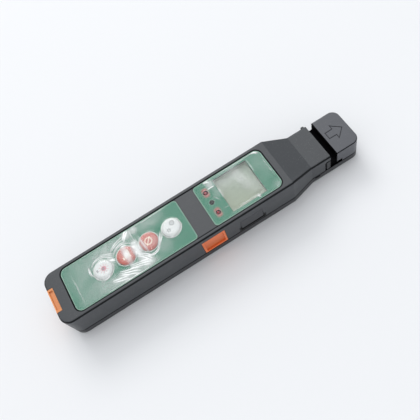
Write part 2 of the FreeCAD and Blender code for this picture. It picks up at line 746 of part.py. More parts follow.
def anvil_block():
    """Dark block through the hook's wall, with a hollow face that the jaw bends the fibre into."""
    low, high = anvil_levels()
    half = anvil_width / 2
    front = x_head - press_gap
    back = anvil_back()
    body = block(front, back, -half, half, low, high)
    flange = block(back, back + anvil_flange, -half - anvil_flange, half + anvil_flange, low - anvil_flange, high)
    hollow_radius = half * half / (2 * anvil_hollow)
    hollow = rod(2 * hollow_radius, high - low + 2, V(front + anvil_hollow - hollow_radius, 0, low - 1))
    rear = back + anvil_flange
    seats = [photodiode(side) for side in (-1, 1)]
    light = [rod(light_hole_diameter, rear - front, V(front, side * photodiode_pitch / 2, (low + high) / 2), X_AXIS)
             for side in (-1, 1)]
    return joined([body, flange]).cut([hollow] + seats + light)


def anvil_back():
    return x_head + undercut_depth + wall


def photodiode(side):
    low, high = anvil_levels()
    rear = anvil_back() + anvil_flange
    y, z, half = side * photodiode_pitch / 2, (low + high) / 2, photodiode_width / 2
    return block(rear - photodiode_length, rear, y - half, y + half, z - half, z + half)


def detector_board():
    high = anvil_levels()[1]
    x0 = anvil_back() + anvil_flange
    half = anvil_width / 2
    return block(x0, x0 + detector_board_thickness, -half, half, parting_height + press_gap, high)


def detector_flex():
    """Flat lead from the detectors, under the slot, up to the main board."""
    low, thick, half = floor + 0.4, flex_thickness, flex_width / 2
    start = anvil_back() + anvil_flange + detector_board_thickness
    bend = x_shoulder + 6.0
    joint = x_board_end - 4.0
    drop = block(start, start + thick, -half, half, low, parting_height + 3.0)
    run = block(bend, start + thick, -half, half, low, low + thick)
    rise = prism([V(bend, -half, low), V(bend, -half, low + thick), V(joint + thick, -half, board_under),
                  V(joint, -half, board_under)], flex_width, Y_AXIS)
    return joined([drop, run, rise])


def label(x0, length, low_radius, high_radius, holes):
    sheet = rounded_block(x0, x0 + length, -label_width / 2, label_width / 2, label_floor, label_top, low_radius, high_radius)
    return sheet.cut(holes)


def keypad_label():
    holes = [rod(key_diameter + 4 * slide_gap, 3 * label_thickness, V(x, 0, label_floor - label_thickness)) for x in key_places()]
    return label(keypad_x, keypad_label_length, label_corner_radius, label_inner_radius, holes)


def display_label():
    holes = [rod(lamp_diameter + 2 * press_gap, 3 * label_thickness, V(x, y, label_floor - label_thickness)) for x, y in lamp_places()]
    holes.append(block(window_x, window_x + window_length, -window_width / 2, window_width / 2, label_floor - 1, label_top + 1))
    return label(display_x, display_label_length, label_inner_radius, label_corner_radius, holes)


def display_window():
    gap = press_gap
    return block(window_x + gap, window_x + window_length - gap, -window_width / 2 + gap, window_width / 2 - gap,
                 roof_under, label_top)


def display_frame():
    w = display_frame_wall
    outer = block(window_x - w, window_x + window_length + w, -window_width / 2 - w, window_width / 2 + w, board_top, roof_under)
    well = block(window_x, window_x + window_length, -window_width / 2, window_width / 2, board_top + 1.0, roof_under + 1)
    return outer.cut(well)


def display_panel():
    top = label_top - display_depth
    return block(window_x + press_gap, window_x + window_length - press_gap, -window_width / 2 + press_gap,
                 window_width / 2 - press_gap, board_top + 1.0, top)


def lamp(x, y):
    collar = rod(lamp_diameter + 0.9, 2.4, V(x, y, board_top))
    straight = rod(lamp_diameter, label_top - lamp_diameter / 2 - board_top, V(x, y, board_top))
    dome = Part.makeSphere(lamp_diameter / 2, V(x, y, label_top - lamp_diameter / 2))
    return joined([collar, straight, dome])


def key(x):
    """Round key cap with a dished rim, a flange under the roof and a stem over its switch."""
    edge_top = case_height + key_rise - key_dome / 2
    foot = roof_under - press_gap
    cap = rod(key_diameter, edge_top - foot, V(x, 0, foot))
    crown = Part.makeCone(key_diameter / 2, key_dome_share * key_diameter / 2, key_dome, V(x, 0, edge_top))
    flange = rod(key_diameter + 2 * key_flange, key_flange_thickness, V(x, 0, foot - key_flange_thickness))
    stem_foot = board_top + switch_height + switch_button_height + key_travel + press_gap
    stem = rod(key_stem_diameter, foot - stem_foot, V(x, 0, stem_foot))
    return joined([cap, crown, flange, stem])


def tact_switches():
    half = switch_size / 2
    switches = []
    for x in key_places():
        body = block(x - half, x + half, -half, half, board_top, board_top + switch_height)
        button = rod(switch_button_diameter, switch_button_height, V(x, 0, board_top + switch_height))
        switches.append(joined([body, button]))
    return grouped(switches)


def main_board():
    half = board_width / 2
    board = rounded_block(x_tail + board_start, x_board_end, -half, half, board_under, board_top, 2.0, 1.0)
    room = trigger_flange + seat_gap
    notch = block(trigger_x - room, trigger_x + trigger_length + room, -half - 1, trigger_back() + trigger_travel + seat_gap,
                  board_under - 1, board_top + 1)
    holes = [rod(2.2, 3 * board_thickness, V(x, y, board_under - board_thickness)) for x, y in board_post_places()]
    return board.cut([notch] + holes)


def board_screws():
    screws = []
    for x, y in board_post_places():
        head = rod(board_screw_head_diameter, board_screw_head_height, V(x, y, board_under - board_screw_head_height))
        shank = rod(board_screw_diameter, board_screw_length, V(x, y, board_under))
        screws.append(joined([head, shank]))
    return grouped(screws)


def processor():
    x0 = x_board_end - processor_from_end
    return block(x0, x0 + processor_size, seat_gap, seat_gap + processor_size, board_under - processor_thickness, board_under)


def sounder():
    """Can under the board, with its sound hole facing the slots in the underside."""
    x, y = sounder_place()
    can = rod(sounder_diameter, sounder_height, V(x, y, board_under - sounder_height))
    return can.cut(rod(2.0, 1.5, V(x, y, board_under - sounder_height - 0.5)))


def sounder_place():
    return x_board_end - sounder_from_end, board_width / 2 - sounder_from_edge


def laser_leads():
    """Two wires from the laser's tail, soldered on the board."""
    x0 = x_tail + cover_depth + slide_gap + port_sleeve_length + laser_length
    z = board_top + lead_diameter / 2
    return grouped([rod(lead_diameter, lead_length, V(x0, side * lead_pitch / 2, z), X_AXIS) for side in (-1, 1)])


def rating_plate():
    x0 = x_tail + plate_from_tail
    return rounded_block(x0, x0 + plate_length, -plate_width / 2, plate_width / 2, plate_sink - plate_thickness, plate_sink,
                         1.0, 1.0)


def arrow_cut():
    """Outline of an arrow towards the head, cut in the top of the hook."""
    x0 = x_head + arrow_from_slot
    x1, x2 = x0 + arrow_shaft_share * arrow_length, x0 + arrow_length
    shaft, barb, z = arrow_shaft_width / 2, arrow_width / 2, head_height - arrow_depth
    half = [V(x0, -shaft, z), V(x1, -shaft, z), V(x1, -barb, z), V(x2, 0, z)]
    points = half + [V(p.x, -p.y, z) for p in reversed(half[:-1])]
    face = Part.Face(Part.makePolygon(points + [points[0]]))
    ring = face.cut(face.makeOffset2D(-arrow_line))
    return ring.extrude(Z_AXIS * (2 * arrow_depth))


def service_socket():
    """Metal-shelled socket under the board, its mouth towards the near wall."""
    middle = flap_x + flap_length / 2
    y0 = near_wall + wall + press_gap
    shell = block(middle - socket_width / 2, middle + socket_width / 2, y0, y0 + socket_depth, board_under - socket_height, board_under)
    mouth = block(middle - socket_width / 2 + 0.4, middle + socket_width / 2 - 0.4, y0 - 1, y0 + socket_depth - 0.8,
                  board_under - socket_height + 0.4, board_under - 0.4)
    tongue = block(middle - 1.9, middle + 1.9, y0 + 0.8, y0 + socket_depth - 0.5, board_under - socket_height / 2 - 0.3,
                   board_under - socket_height / 2 + 0.3)
    return joined([shell.cut(mouth), tongue])


def port_flap():
    x0, x1 = flap_x, flap_x + flap_length
    inner = near_wall + flap_thickness
    plate = block(x0, x1, near_wall, inner, flap_z, flap_hinge.z)
    roll = rod(flap_thickness, flap_length, V(x0, flap_hinge.y, flap_hinge.z), X_AXIS)
    reach = flap_length + 2 * flap_pin_length
    pins = rod(flap_pin_diameter, reach, V(x0 - flap_pin_length, flap_hinge.y, flap_hinge.z), X_AXIS)
    return joined([plate, roll, pins])


def port_cover():
    """Hinged cover of the laser port: round at its foot about the pin, scooped at its top for a fingertip."""
    half = cover_width / 2
    x0, x1 = x_tail, x_tail + cover_depth
    plate = block(x0, x1, -half, half, cover_hinge.z, case_height)
    foot = rod(cover_depth, cover_width, V(cover_hinge.x, -half, cover_hinge.z), Y_AXIS)
    cover = joined([plate, foot])
    outer = [e for e in cover.Edges if e.Vertexes[0].Z > case_height - 1e-6 and e.Vertexes[-1].Z > case_height - 1e-6
             and abs(e.Vertexes[0].X - x0) < 1e-6 and abs(e.Vertexes[-1].X - x0) < 1e-6]
    cover = cover.makeFillet(0.9, outer)
    scoop = block(x0 + cover_rim * 0.7, x1 - 0.5, -half + cover_rim, half - cover_rim, case_height - cover_scoop, case_height + 1)
    panel = block(x0 - 1, x0 + 0.6, -half + cover_rim, half - cover_rim, cover_hinge.z + 2.0, case_height - 3.2)
    room = rod(port_flange_diameter + 2 * seat_gap, 1.4, V(x1 - 1.4, 0, port_height), X_AXIS)
    bore = rod(cover_pin_diameter + 2 * pin_gap, cover_width + 2, V(cover_hinge.x, -half - 1, cover_hinge.z), Y_AXIS)
    return cover.cut([scoop, panel, room, bore])


def cover_pin():
    length = cover_width + 2 * slide_gap + 2 * wall - 1.4
    return rod(cover_pin_diameter, length, V(cover_hinge.x, -length / 2, cover_hinge.z), Y_AXIS)


def port_sleeve():
    """Metal sleeve that takes a 2.5 mm ferrule."""
    back = x_tail + cover_depth + slide_gap
    flange = rod(port_flange_diameter, port_flange_thickness, V(back - port_flange_thickness, 0, port_height), X_AXIS)
    tube = rod(port_sleeve_diameter, port_sleeve_length, V(back, 0, port_height), X_AXIS)
    bore = rod(port_bore_diameter, port_sleeve_length + 2 * port_flange_thickness, V(back - 2 * port_flange_thickness, 0, port_height), X_AXIS)
    return joined([flange, tube]).cut(bore)


def laser_module():
    x0 = x_tail + cover_depth + slide_gap + port_sleeve_length
    step = laser_length - laser_tail_length
    barrel = rod(laser_diameter, step, V(x0, 0, port_height), X_AXIS)
    tail = rod(laser_diameter - 1.6, laser_tail_length, V(x0 + step, 0, port_height), X_AXIS)
    return joined([barrel, tail])


def cell(side):
    """AAA cell: the one at +Y points to the head, the other to the tail."""
    y = side * cell_pitch / 2
    total = cell_length + cell_nub_length
    x0 = bay_x + bay_length - contact_thickness - total if side > 0 else bay_x + contact_thickness + cell_nub_length
    can = rod(cell_diameter, cell_length, V(x0, y, cell_z), X_AXIS)
    can = can.makeChamfer(cell_edge, [e for e in can.Edges if len(e.Vertexes) == 1])
    nub_x = x0 + cell_length - press_gap if side > 0 else x0 - cell_nub_length
    nub = rod(cell_nub_diameter, cell_nub_length + press_gap, V(nub_x, y, cell_z), X_AXIS)
    return joined([can, nub])


def contact_plates():
    """Bridge between the cells at the tail end, and two plates with tabs up to the board at the other."""
    half = contact_size / 2
    reach = cell_pitch / 2
    plates = [block(bay_x, bay_x + contact_thickness, -reach - half, reach + half, cell_z - half, cell_z + half)]
    x1 = bay_x + bay_length
    for y in (-reach, reach):
        plate = block(x1 - contact_thickness, x1, y - half, y + half, cell_z - half, cell_z + half)
        tab = block(x1 - contact_thickness, x1, y - tab_width / 2, y + tab_width / 2, cell_z, board_under)
        plates.append(joined([plate, tab]))
    return grouped(plates)


def cell_springs():
    mean = (cell_spring_diameter - cell_spring_wire) / 2
    starts = (V(bay_x + contact_thickness, cell_pitch / 2, cell_z),
              V(bay_x + bay_length - contact_thickness - cell_spring_room, -cell_pitch / 2, cell_z))
    return grouped([coil(start, cell_spring_room, mean, cell_spring_wire, cell_spring_turns) for start in starts])


def battery_door():
    half = bay_half - door_gap
    x0 = bay_x + door_gap
    z0, z1 = door_lift, door_lift + door_thickness
    plate = block(x0, door_hinge.x, -half, half, z0, z1)
    roll = rod(door_thickness, 2 * half, V(door_hinge.x, -half, door_hinge.z), Y_AXIS)
    reach = 2 * (half + door_pin_length)
    pins = rod(door_pin_diameter, reach, V(door_hinge.x, -reach / 2, door_hinge.z), Y_AXIS)
    door = joined([plate, roll, pins])
    grips = [block(x0 + 3.0 + n * 2.2, x0 + 4.0 + n * 2.2, -5.0, 5.0, z0 - 1, z0 + 0.5) for n in range(4)]
    return door.cut(grips)


def screw(x, y, length):
    """Cross-headed screw from below, its head sunk in the underside."""
    top = screw_sink + screw_head_height
    head = rod(screw_head_diameter, screw_head_height, V(x, y, screw_sink))
    shank = rod(screw_diameter, length, V(x, y, top))
    arm, half = screw_head_diameter * 0.3, 0.35
    cross = [block(x - arm, x + arm, y - half, y + half, 0, top - 0.6),
             block(x - half, x + half, y - arm, y + arm, 0, top - 0.6)]
    return joined([head, shank]).cut(cross)


def case_screws():
    body, head = screw_places()
    return grouped([screw(x, y, screw_length) for x, y in body] + [screw(x, y, head_screw_length) for x, y in head])


def keypad_film():
    """Clear film over the keypad label, raised over the keys."""
    base = label_top
    gap = 0.12
    peak = case_height + key_rise + key_dome / 2 + gap
    x0, x1 = keypad_x + film_margin, keypad_x + keypad_label_length - film_margin
    half = label_width / 2 - film_margin
    sheet = rounded_block(x0, x1, -half, half, base, base + film_thickness, label_corner_radius, label_inner_radius)
    inner_radius = key_diameter / 2 + 3 * slide_gap
    domes = [rod(2 * (inner_radius + film_thickness), peak + film_thickness - base, V(x, 0, base)) for x in key_places()]
    rooms = [rod(2 * inner_radius, peak - base + 1, V(x, 0, base - 1)) for x in key_places()]
    return joined([sheet] + domes).cut(rooms)


def display_film():
    x0, x1 = display_x + film_margin, display_x + display_label_length - film_margin
    half = label_width / 2 - film_margin
    return rounded_block(x0, x1, -half, half, label_top, label_top + film_thickness, label_inner_radius, label_corner_radius)


def pieces():
    made = {
        "upper_shell": upper_shell(), "lower_shell": lower_shell(), "head_cap": head_cap(),
        "slot_block": slot_block(), "anvil_block": anvil_block(), "photodiode_left": photodiode(1), "photodiode_right": photodiode(-1),
        "detector_board": detector_board(), "detector_flex": detector_flex(),
        "keypad_label": keypad_label(), "display_label": display_label(),
        "keypad_film": keypad_film(), "display_film": display_film(),
        "display_window": display_window(), "display_frame": display_frame(), "display_panel": display_panel(),
        "main_board": main_board(), "board_screws": board_screws(), "tact_switches": tact_switches(),
        "processor": processor(), "sounder": sounder(), "laser_leads": laser_leads(), "rating_plate": rating_plate(), "service_socket": service_socket(),
        "cell_left": cell(1), "cell_right": cell(-1), "contact_plates": contact_plates(), "cell_springs": cell_springs(),
        "battery_door": battery_door(), "port_sleeve": port_sleeve(), "laser_module": laser_module(),
        "port_cover": port_cover(), "cover_pin": cover_pin(), "port_flap": port_flap(),
        "trigger_key": trigger_key(), "follower": follower(), "push_rod": push_rod(), "return_spring": return_spring(),
        "jaw_block": jaw_block(), "case_screws": case_screws(),
    }
    for name, x in zip(key_names, key_places()):
        made[name] = key(x)
    for name, (x, y) in zip(lamp_names, lamp_places()):
        made[name] = lamp(x, y)
    return made


os.makedirs("parts", exist_ok=True)
for name, shape in pieces().items():
    shape.exportStep(f"parts/{name}.step")
    print(f"{name:18s} solids {len(shape.Solids)}  volume {shape.Volume:10.2f}  valid {shape.isValid()}")
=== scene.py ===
# %% [markdown]
# # A fibre identifier with a laser port
# This tester is a hand-held bar. A fibre is laid in the slot near one end and a jaw presses it, so that light leaks
# out to the detectors. The other end hides a small laser port. The solid pieces come from the CAD frame, so this
# lesson is about what CAD leaves out: the grain of moulded plastic, printed marks, lamps, and two creased films.

import math

import bmesh
import bpy
from mathutils import Matrix, Vector, noise


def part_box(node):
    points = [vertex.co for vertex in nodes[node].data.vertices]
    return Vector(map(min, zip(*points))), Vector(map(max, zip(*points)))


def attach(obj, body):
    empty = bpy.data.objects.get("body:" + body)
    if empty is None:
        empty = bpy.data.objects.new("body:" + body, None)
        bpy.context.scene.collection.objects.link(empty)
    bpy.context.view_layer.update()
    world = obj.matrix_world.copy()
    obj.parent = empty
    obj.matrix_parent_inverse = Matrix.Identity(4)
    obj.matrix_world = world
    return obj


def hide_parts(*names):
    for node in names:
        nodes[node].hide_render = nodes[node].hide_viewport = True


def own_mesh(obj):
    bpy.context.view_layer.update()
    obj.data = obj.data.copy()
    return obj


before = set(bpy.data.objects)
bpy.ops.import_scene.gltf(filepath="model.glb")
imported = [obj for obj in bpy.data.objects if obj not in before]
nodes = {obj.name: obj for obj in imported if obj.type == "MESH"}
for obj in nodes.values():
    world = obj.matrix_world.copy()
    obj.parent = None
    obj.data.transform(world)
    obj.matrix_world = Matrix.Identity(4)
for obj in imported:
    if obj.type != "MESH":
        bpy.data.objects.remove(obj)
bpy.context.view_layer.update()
MM = 0.001
print("CAD nodes:", len(nodes))

# %% [markdown]
# ## Places to build on
# Every print and every new piece takes its place from a CAD node's box, so it follows the frame when a size changes.
# A box is two corners in metres, with +X to the hook, +Y to the far side and +Z up.

# %% Places taken from the CAD nodes
KEY_NODES = ("key_laser", "key_tone", "key_zero", "key_power")
LAMP_NODES = ("lamp_left", "lamp_tone", "lamp_right")


def centre_of(node):
    low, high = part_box(node)
    return (low + high) / 2


def top_of(node):
    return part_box(node)[1].z


key_centres = {name: centre_of(name) for name in KEY_NODES}
lamp_centres = {name: centre_of(name) for name in LAMP_NODES}
label_top = top_of("keypad_label")
key_rise = top_of("key_power") - label_top
print("the keys stand", round(key_rise / MM, 2), "mm over the label")

# %% [markdown]
# ## The camera
# The tester is seen from above its near side, a little from the tail, with the camera rolled so that the bar climbs
# from the lower left to the upper right. A camera is easiest to place by its target, its distance and three angles.

# %% Camera
CAMERA_TARGET = Vector((3.8, 1.3, 14.7)) * MM
CAMERA_DISTANCE = 332.9 * MM
CAMERA_AZIMUTH, CAMERA_ELEVATION, CAMERA_ROLL = (math.radians(a) for a in (-7.9, 63.1, 24.95))
CAMERA_LENS = 48.4


def build_camera():
    flat = math.cos(CAMERA_ELEVATION)
    back = Vector((math.sin(CAMERA_AZIMUTH) * flat, -math.cos(CAMERA_AZIMUTH) * flat, math.sin(CAMERA_ELEVATION)))
    level = (-back).cross(Vector((0, 0, 1))).normalized()
    upright = level.cross(-back)
    right = math.cos(CAMERA_ROLL) * level - math.sin(CAMERA_ROLL) * upright
    up = math.sin(CAMERA_ROLL) * level + math.cos(CAMERA_ROLL) * upright
    turn = Matrix((right, up, back)).transposed().to_4x4()
    data = bpy.data.cameras.new("camera")
    data.lens = CAMERA_LENS
    data.clip_start = 0.01
    camera = bpy.data.objects.new("camera", data)
    camera.matrix_world = Matrix.Translation(CAMERA_TARGET + back * CAMERA_DISTANCE) @ turn
    bpy.context.scene.collection.objects.link(camera)
    bpy.context.scene.camera = camera
    return camera


camera = build_camera()
bpy.context.scene.view_settings.view_transform = "Standard"
print("camera at mm", [round(v / MM, 1) for v in camera.matrix_world.translation])

# %% [markdown]
# ## Node helpers
# Materials and the sky are node trees. One helper fills a node's inputs: an input that is given a socket is linked,
# and any other input is set to the number, colour or vector. Another adds a node, sets its options and fills its
# inputs. The short ones after it stand for the nodes that every finish needs.

# %% Node helpers
def fill(tree, node, inputs):
    for name, value in inputs.items():
        if isinstance(value, bpy.types.NodeSocket):
            tree.links.new(value, node.inputs[name])
        else:
            node.inputs[name].default_value = value


def add_node(tree, kind, inputs=None, **options):
    made = tree.nodes.new("ShaderNode" + kind)
    for name, value in options.items():
        setattr(made, name, value)
    fill(tree, made, inputs or {})
    return made


def sum_up(tree, operation, first, second=0.0, third=0.0, clamp=False):
    """One Math node. It returns the result's socket."""
    return add_node(tree, "Math", {0: first, 1: second, 2: third}, operation=operation, use_clamp=clamp).outputs[0]


def product(tree, first, *others):
    for other in others:
        first = sum_up(tree, "MULTIPLY", first, other)
    return first


def opposite(tree, share):
    """1 where the share is 0, and 0 where it is 1."""
    return sum_up(tree, "SUBTRACT", 1.0, share)


def ramp(tree, value, low, high, start=0.0, end=1.0):
    """A smooth step from start to end while value goes from low to high."""
    inputs = {"Value": value, "From Min": low, "From Max": high, "To Min": start, "To Max": end}
    return add_node(tree, "MapRange", inputs, interpolation_type="SMOOTHSTEP").outputs["Result"]


def blend_colours(tree, share, first, second):
    return add_node(tree, "Mix", {0: share, 6: first, 7: second}, data_type="RGBA").outputs[2]


def axes(tree, vector):
    """The X, Y and Z of a vector."""
    return add_node(tree, "SeparateXYZ", {0: vector}).outputs


def length_of(tree, vector):
    return add_node(tree, "VectorMath", {0: vector}, operation="LENGTH").outputs["Value"]


def speckle(tree, vector, scale, detail, roughness=0.5):
    """Noise from 0 to 1. The scale is in lumps a metre."""
    inputs = {"Vector": vector, "Scale": scale, "Detail": detail, "Roughness": roughness}
    return add_node(tree, "TexNoise", inputs).outputs["Fac"]


def let_through(tree, coat, share, tint=(1, 1, 1, 1)):
    """Shows the coat where the share is 1 and a clear shader where it is 0."""
    clear = add_node(tree, "BsdfTransparent", {"Color": tint})
    mixed = add_node(tree, "MixShader", {0: share, 1: clear.outputs[0], 2: coat.outputs[0]})
    fill(tree, tree.nodes["Material Output"], {"Surface": mixed.outputs[0]})


# %% [markdown]
# ## Light and floor
# The look is a white table under one broad soft light on the far side. The sky is bright round that side's upper part
# and dim elsewhere, so flat tops look lighter than slopes, and rounded edges that face the near side go dark. A pale
# band stands round the horizon. It is white where the camera, a mirror or a clear piece sees it.

# %% Sky with a bright region on the far side
SKY_COLOUR, SKY_BRIGHT, SKY_DIM = (0.97, 0.985, 1.0, 1), 1.84, 0.66
BRIGHT_SIDE = Vector((0.10, 0.52, 0.84)).normalized()
BRIGHT_CORE, BRIGHT_EDGE = math.radians(10), math.radians(40)
BAND_LIGHT, BAND_FULL, BAND_END = 0.98, 0.22, 0.42


def build_sky():
    world = bpy.data.worlds.new("studio")
    world.use_nodes = True
    bpy.context.scene.world = world
    tree = world.node_tree
    tree.nodes.clear()
    where = add_node(tree, "TexCoord").outputs["Generated"]
    toward = add_node(tree, "VectorMath", {0: where, 1: BRIGHT_SIDE}, operation="DOT_PRODUCT").outputs["Value"]
    light = ramp(tree, toward, math.cos(BRIGHT_EDGE), math.cos(BRIGHT_CORE), SKY_DIM, SKY_BRIGHT)
    rays = add_node(tree, "LightPath").outputs
    mirrored = sum_up(tree, "ADD", rays["Is Glossy Ray"], rays["Is Transmission Ray"])
    seen = sum_up(tree, "ADD", rays["Is Camera Ray"], mirrored, clamp=True)
    level = sum_up(tree, "MULTIPLY_ADD", seen, 1.0 - BAND_LIGHT, BAND_LIGHT)
    band = product(tree, ramp(tree, axes(tree, where)["Z"], BAND_FULL, BAND_END, 1.0, 0.0), level)
    sky = add_node(tree, "Background", {"Color": SKY_COLOUR, "Strength": sum_up(tree, "MAXIMUM", light, band)})
    add_node(tree, "OutputWorld", {0: sky.outputs[0]})


build_sky()
print("sky: bright", SKY_BRIGHT, "dim", SKY_DIM)


# %% Lamps
def add_lamp(name, place, aim, size, power, colour=(1, 1, 1)):
    """A rectangular lamp. Its places and size are in metres and its power in watts."""
    data = bpy.data.lights.new(name, "AREA")
    data.shape = "RECTANGLE"
    data.size, data.size_y = size
    data.energy = power
    data.color = colour
    lamp = bpy.data.objects.new(name, data)
    lamp.location = place
    lamp.rotation_euler = (Vector(aim) - Vector(place)).to_track_quat("-Z", "Y").to_euler()
    bpy.context.scene.collection.objects.link(lamp)
    print(name, power, "W")


add_lamp("far_soft_lamp", (0.04, 1.52, 1.21), (0, 0, 0), (0.98, 0.70), 9.3, (1, 0.985, 0.965))
add_lamp("glint_lamp_high", (-0.02, 0.12, 0.90), (-0.03, 0, 0.02), (0.10, 0.10), 0.35)
add_lamp("glint_lamp_near", (-0.15, -0.35, 0.75), (0, 0, 0.02), (0.06, 0.10), 0.2)


# %% [markdown]
# ### The floor and its window
# The object lies on its battery door and rating plate, so the floor would keep all light from them. The floor is
# therefore clear where the object covers it, and clear from below. Nothing of that shows from above.

# %% Floor
# In millimetres: where along X the outline narrows to the head, and how far inside the outline the window stays.
SHOULDER_X, NECK_X = 50.0, 67.0
SIDE_INSET, END_INSET = 1.5, 4.5
TABLE_HALF, TABLE_DROP = 3.0, 0.05 * MM
TABLE_PAINT = {"Base Color": (0.83, 0.84, 0.86, 1), "Roughness": 0.75, "Specular IOR Level": 0.2}


def covered(tree):
    """1 where the floor lies under the object, a little inside its outline."""
    (low, high), head_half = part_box("lower_shell"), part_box("head_cap")[1].y
    place = axes(tree, add_node(tree, "NewGeometry").outputs["Position"])
    taper = {"Value": place["X"], "From Min": SHOULDER_X * MM, "From Max": NECK_X * MM,
             "To Min": high.y - SIDE_INSET * MM, "To Max": head_half - SIDE_INSET * MM}
    half = add_node(tree, "MapRange", taper).outputs[0]
    after = sum_up(tree, "GREATER_THAN", place["X"], low.x + END_INSET * MM)
    before = sum_up(tree, "LESS_THAN", place["X"], high.x - END_INSET * MM)
    beside = sum_up(tree, "LESS_THAN", sum_up(tree, "ABSOLUTE", place["Y"]), half)
    return product(tree, after, before, beside)


def add_piece(name, shape):
    """A new object that takes over a bmesh."""
    mesh = bpy.data.meshes.new(name)
    shape.to_mesh(mesh)
    shape.free()
    piece = bpy.data.objects.new(name, mesh)
    bpy.context.scene.collection.objects.link(piece)
    return piece


def build_floor():
    shape = bmesh.new()
    bmesh.ops.create_grid(shape, x_segments=1, y_segments=1, size=TABLE_HALF)
    bmesh.ops.translate(shape, verts=shape.verts, vec=(0, 0, -TABLE_DROP))
    floor = add_piece("table_top", shape)
    paint = bpy.data.materials.new("white_table")
    paint.use_nodes = True
    tree = paint.node_tree
    coat = tree.nodes["Principled BSDF"]
    fill(tree, coat, TABLE_PAINT)
    hidden = sum_up(tree, "MAXIMUM", covered(tree), add_node(tree, "NewGeometry").outputs["Backfacing"])
    let_through(tree, coat, opposite(tree, hidden))
    floor.data.materials.append(paint)
    print("the floor is", 2 * TABLE_HALF, "m wide")


build_floor()

# %% [markdown]
# ## Shared effects as node groups
# Several finishes use the same effects: the fine grain of an eroded mould, handling wear, and printed shapes. Each
# effect is one node group with named inputs and outputs, placed in every material with its own values. Lengths inside
# a print group are in millimetres, because that is how a maker would dimension the artwork.

# %% Group helpers
ORIGIN = (0.0, 0.0, 0.0)


def new_group(name, inputs, outputs):
    """An empty group with a Vector and more inputs, each a name and its default: a number, a colour or a vector."""
    tree = bpy.data.node_groups.new(name, "ShaderNodeTree")
    for title, default in {"Vector": ORIGIN, **inputs}.items():
        kind = {3: "Vector", 4: "Color"}[len(default)] if isinstance(default, tuple) else "Float"
        socket = tree.interface.new_socket(title, in_out="INPUT", socket_type="NodeSocket" + kind)
        socket.default_value = default
    for title, kind in outputs.items():
        tree.interface.new_socket(title, in_out="OUTPUT", socket_type="NodeSocket" + kind)
    return tree, tree.nodes.new("NodeGroupInput").outputs, tree.nodes.new("NodeGroupOutput")


def use_group(tree, group, place, inputs):
    return add_node(tree, "Group", {"Vector": place, **inputs}, node_tree=group).outputs


# %% [markdown]
# ### Moulded grain
# Injection-moulded plastic takes the texture of its steel mould: pits about a third of a millimetre wide, and broad
# clouds where the melt cooled unevenly. A Voronoi texture gives the pits and noise gives the clouds.

# %% Moulded grain group
CLOUD_SCALE = 70.0


def build_moulded_grain():
    tree, given, out = new_group(
        "moulded_grain", {"Colour": (0.1, 0.1, 0.1, 1.0), "Grain Size": 0.3, "Cloudiness": 0.08, "Roughness": 0.45},
        {"Colour": "Color", "Roughness": "Float", "Height": "Float"})
    place = given["Vector"]
    per_metre = sum_up(tree, "DIVIDE", 1000.0, given["Grain Size"])
    pits = add_node(tree, "TexVoronoi", {"Vector": place, "Scale": per_metre}, feature="SMOOTH_F1")
    fine = speckle(tree, place, per_metre, 2.0, 0.6)
    cloud = sum_up(tree, "SUBTRACT", speckle(tree, place, CLOUD_SCALE, 3.0, 0.55), 0.5)
    change = sum_up(tree, "MULTIPLY_ADD", sum_up(tree, "SUBTRACT", fine, 0.5), 0.5, cloud)
    bright = sum_up(tree, "MULTIPLY_ADD", change, product(tree, given["Cloudiness"], 4.0), 1.0)
    tinted = add_node(tree, "VectorMath", {0: given["Colour"], "Scale": bright}, operation="SCALE")
    fill(tree, out, {"Colour": tinted.outputs[0],
                     "Roughness": sum_up(tree, "MULTIPLY_ADD", change, 0.18, given["Roughness"], clamp=True),
                     "Height": sum_up(tree, "MULTIPLY_ADD", pits.outputs["Distance"], 0.6, fine)})
    return tree


moulded_grain = build_moulded_grain()

# %% [markdown]
# ### Handling wear
# A tool that lives in a pouch gets hair-fine scuffs along its length and a little dust. Two stretched noises, one for
# each scuff direction, are cut off high so that only thin lines are left.

# %% Handling wear group
# Each direction of scuffs is a turn in radians and how often the noise repeats in a metre of X, Y and Z.
SCUFF_DIRECTIONS = ((0.12, (60.0, 2600.0, 900.0)), (0.95, (90.0, 2200.0, 1200.0)))
PATCH_SCALE, DUST_SCALE = 45.0, 2400.0


def build_handling_wear():
    tree, given, out = new_group("handling_wear", {"Amount": 0.3}, {"Scuffs": "Float", "Dust": "Float"})
    place, lines = given["Vector"], []
    for angle, stretch in SCUFF_DIRECTIONS:
        turned = add_node(tree, "Mapping", {"Vector": place, "Rotation": (0.0, 0.0, angle), "Scale": stretch})
        lines.append(ramp(tree, speckle(tree, turned.outputs[0], 1.0, 1.0), 0.66, 0.74))
    worn = ramp(tree, speckle(tree, place, PATCH_SCALE, 2.0), 0.48, 0.66)
    dust = ramp(tree, speckle(tree, place, DUST_SCALE, 0.0), 0.76, 0.8)
    fill(tree, out, {"Scuffs": product(tree, sum_up(tree, "MAXIMUM", *lines), worn, given["Amount"]),
                     "Dust": product(tree, dust, given["Amount"])})
    return tree


handling_wear = build_handling_wear()

# %% [markdown]
# ### Printed rings, panels and bursts
# Screen-printed marks are flat areas with a crisp edge. Each is made from a distance in the plane of the label:
# a ring is where the distance from its centre is near its radius, and a panel is where the distance to a rounded
# rectangle is below zero.

# %% Helpers that the print groups share
PRINT_EDGE = 0.06


def flat_place(tree, vector, centre):
    """The place on the label from a print's centre, in millimetres."""
    away = add_node(tree, "VectorMath", {0: vector, 1: centre}, operation="SUBTRACT").outputs[0]
    return add_node(tree, "VectorMath", {0: away, 1: (1000.0, 1000.0, 0.0)}, operation="MULTIPLY").outputs[0]


def inside(tree, distance):
    """1 where the distance is below zero and 0 above it, with a soft printed edge."""
    return ramp(tree, distance, -PRINT_EDGE, PRINT_EDGE, 1.0, 0.0)


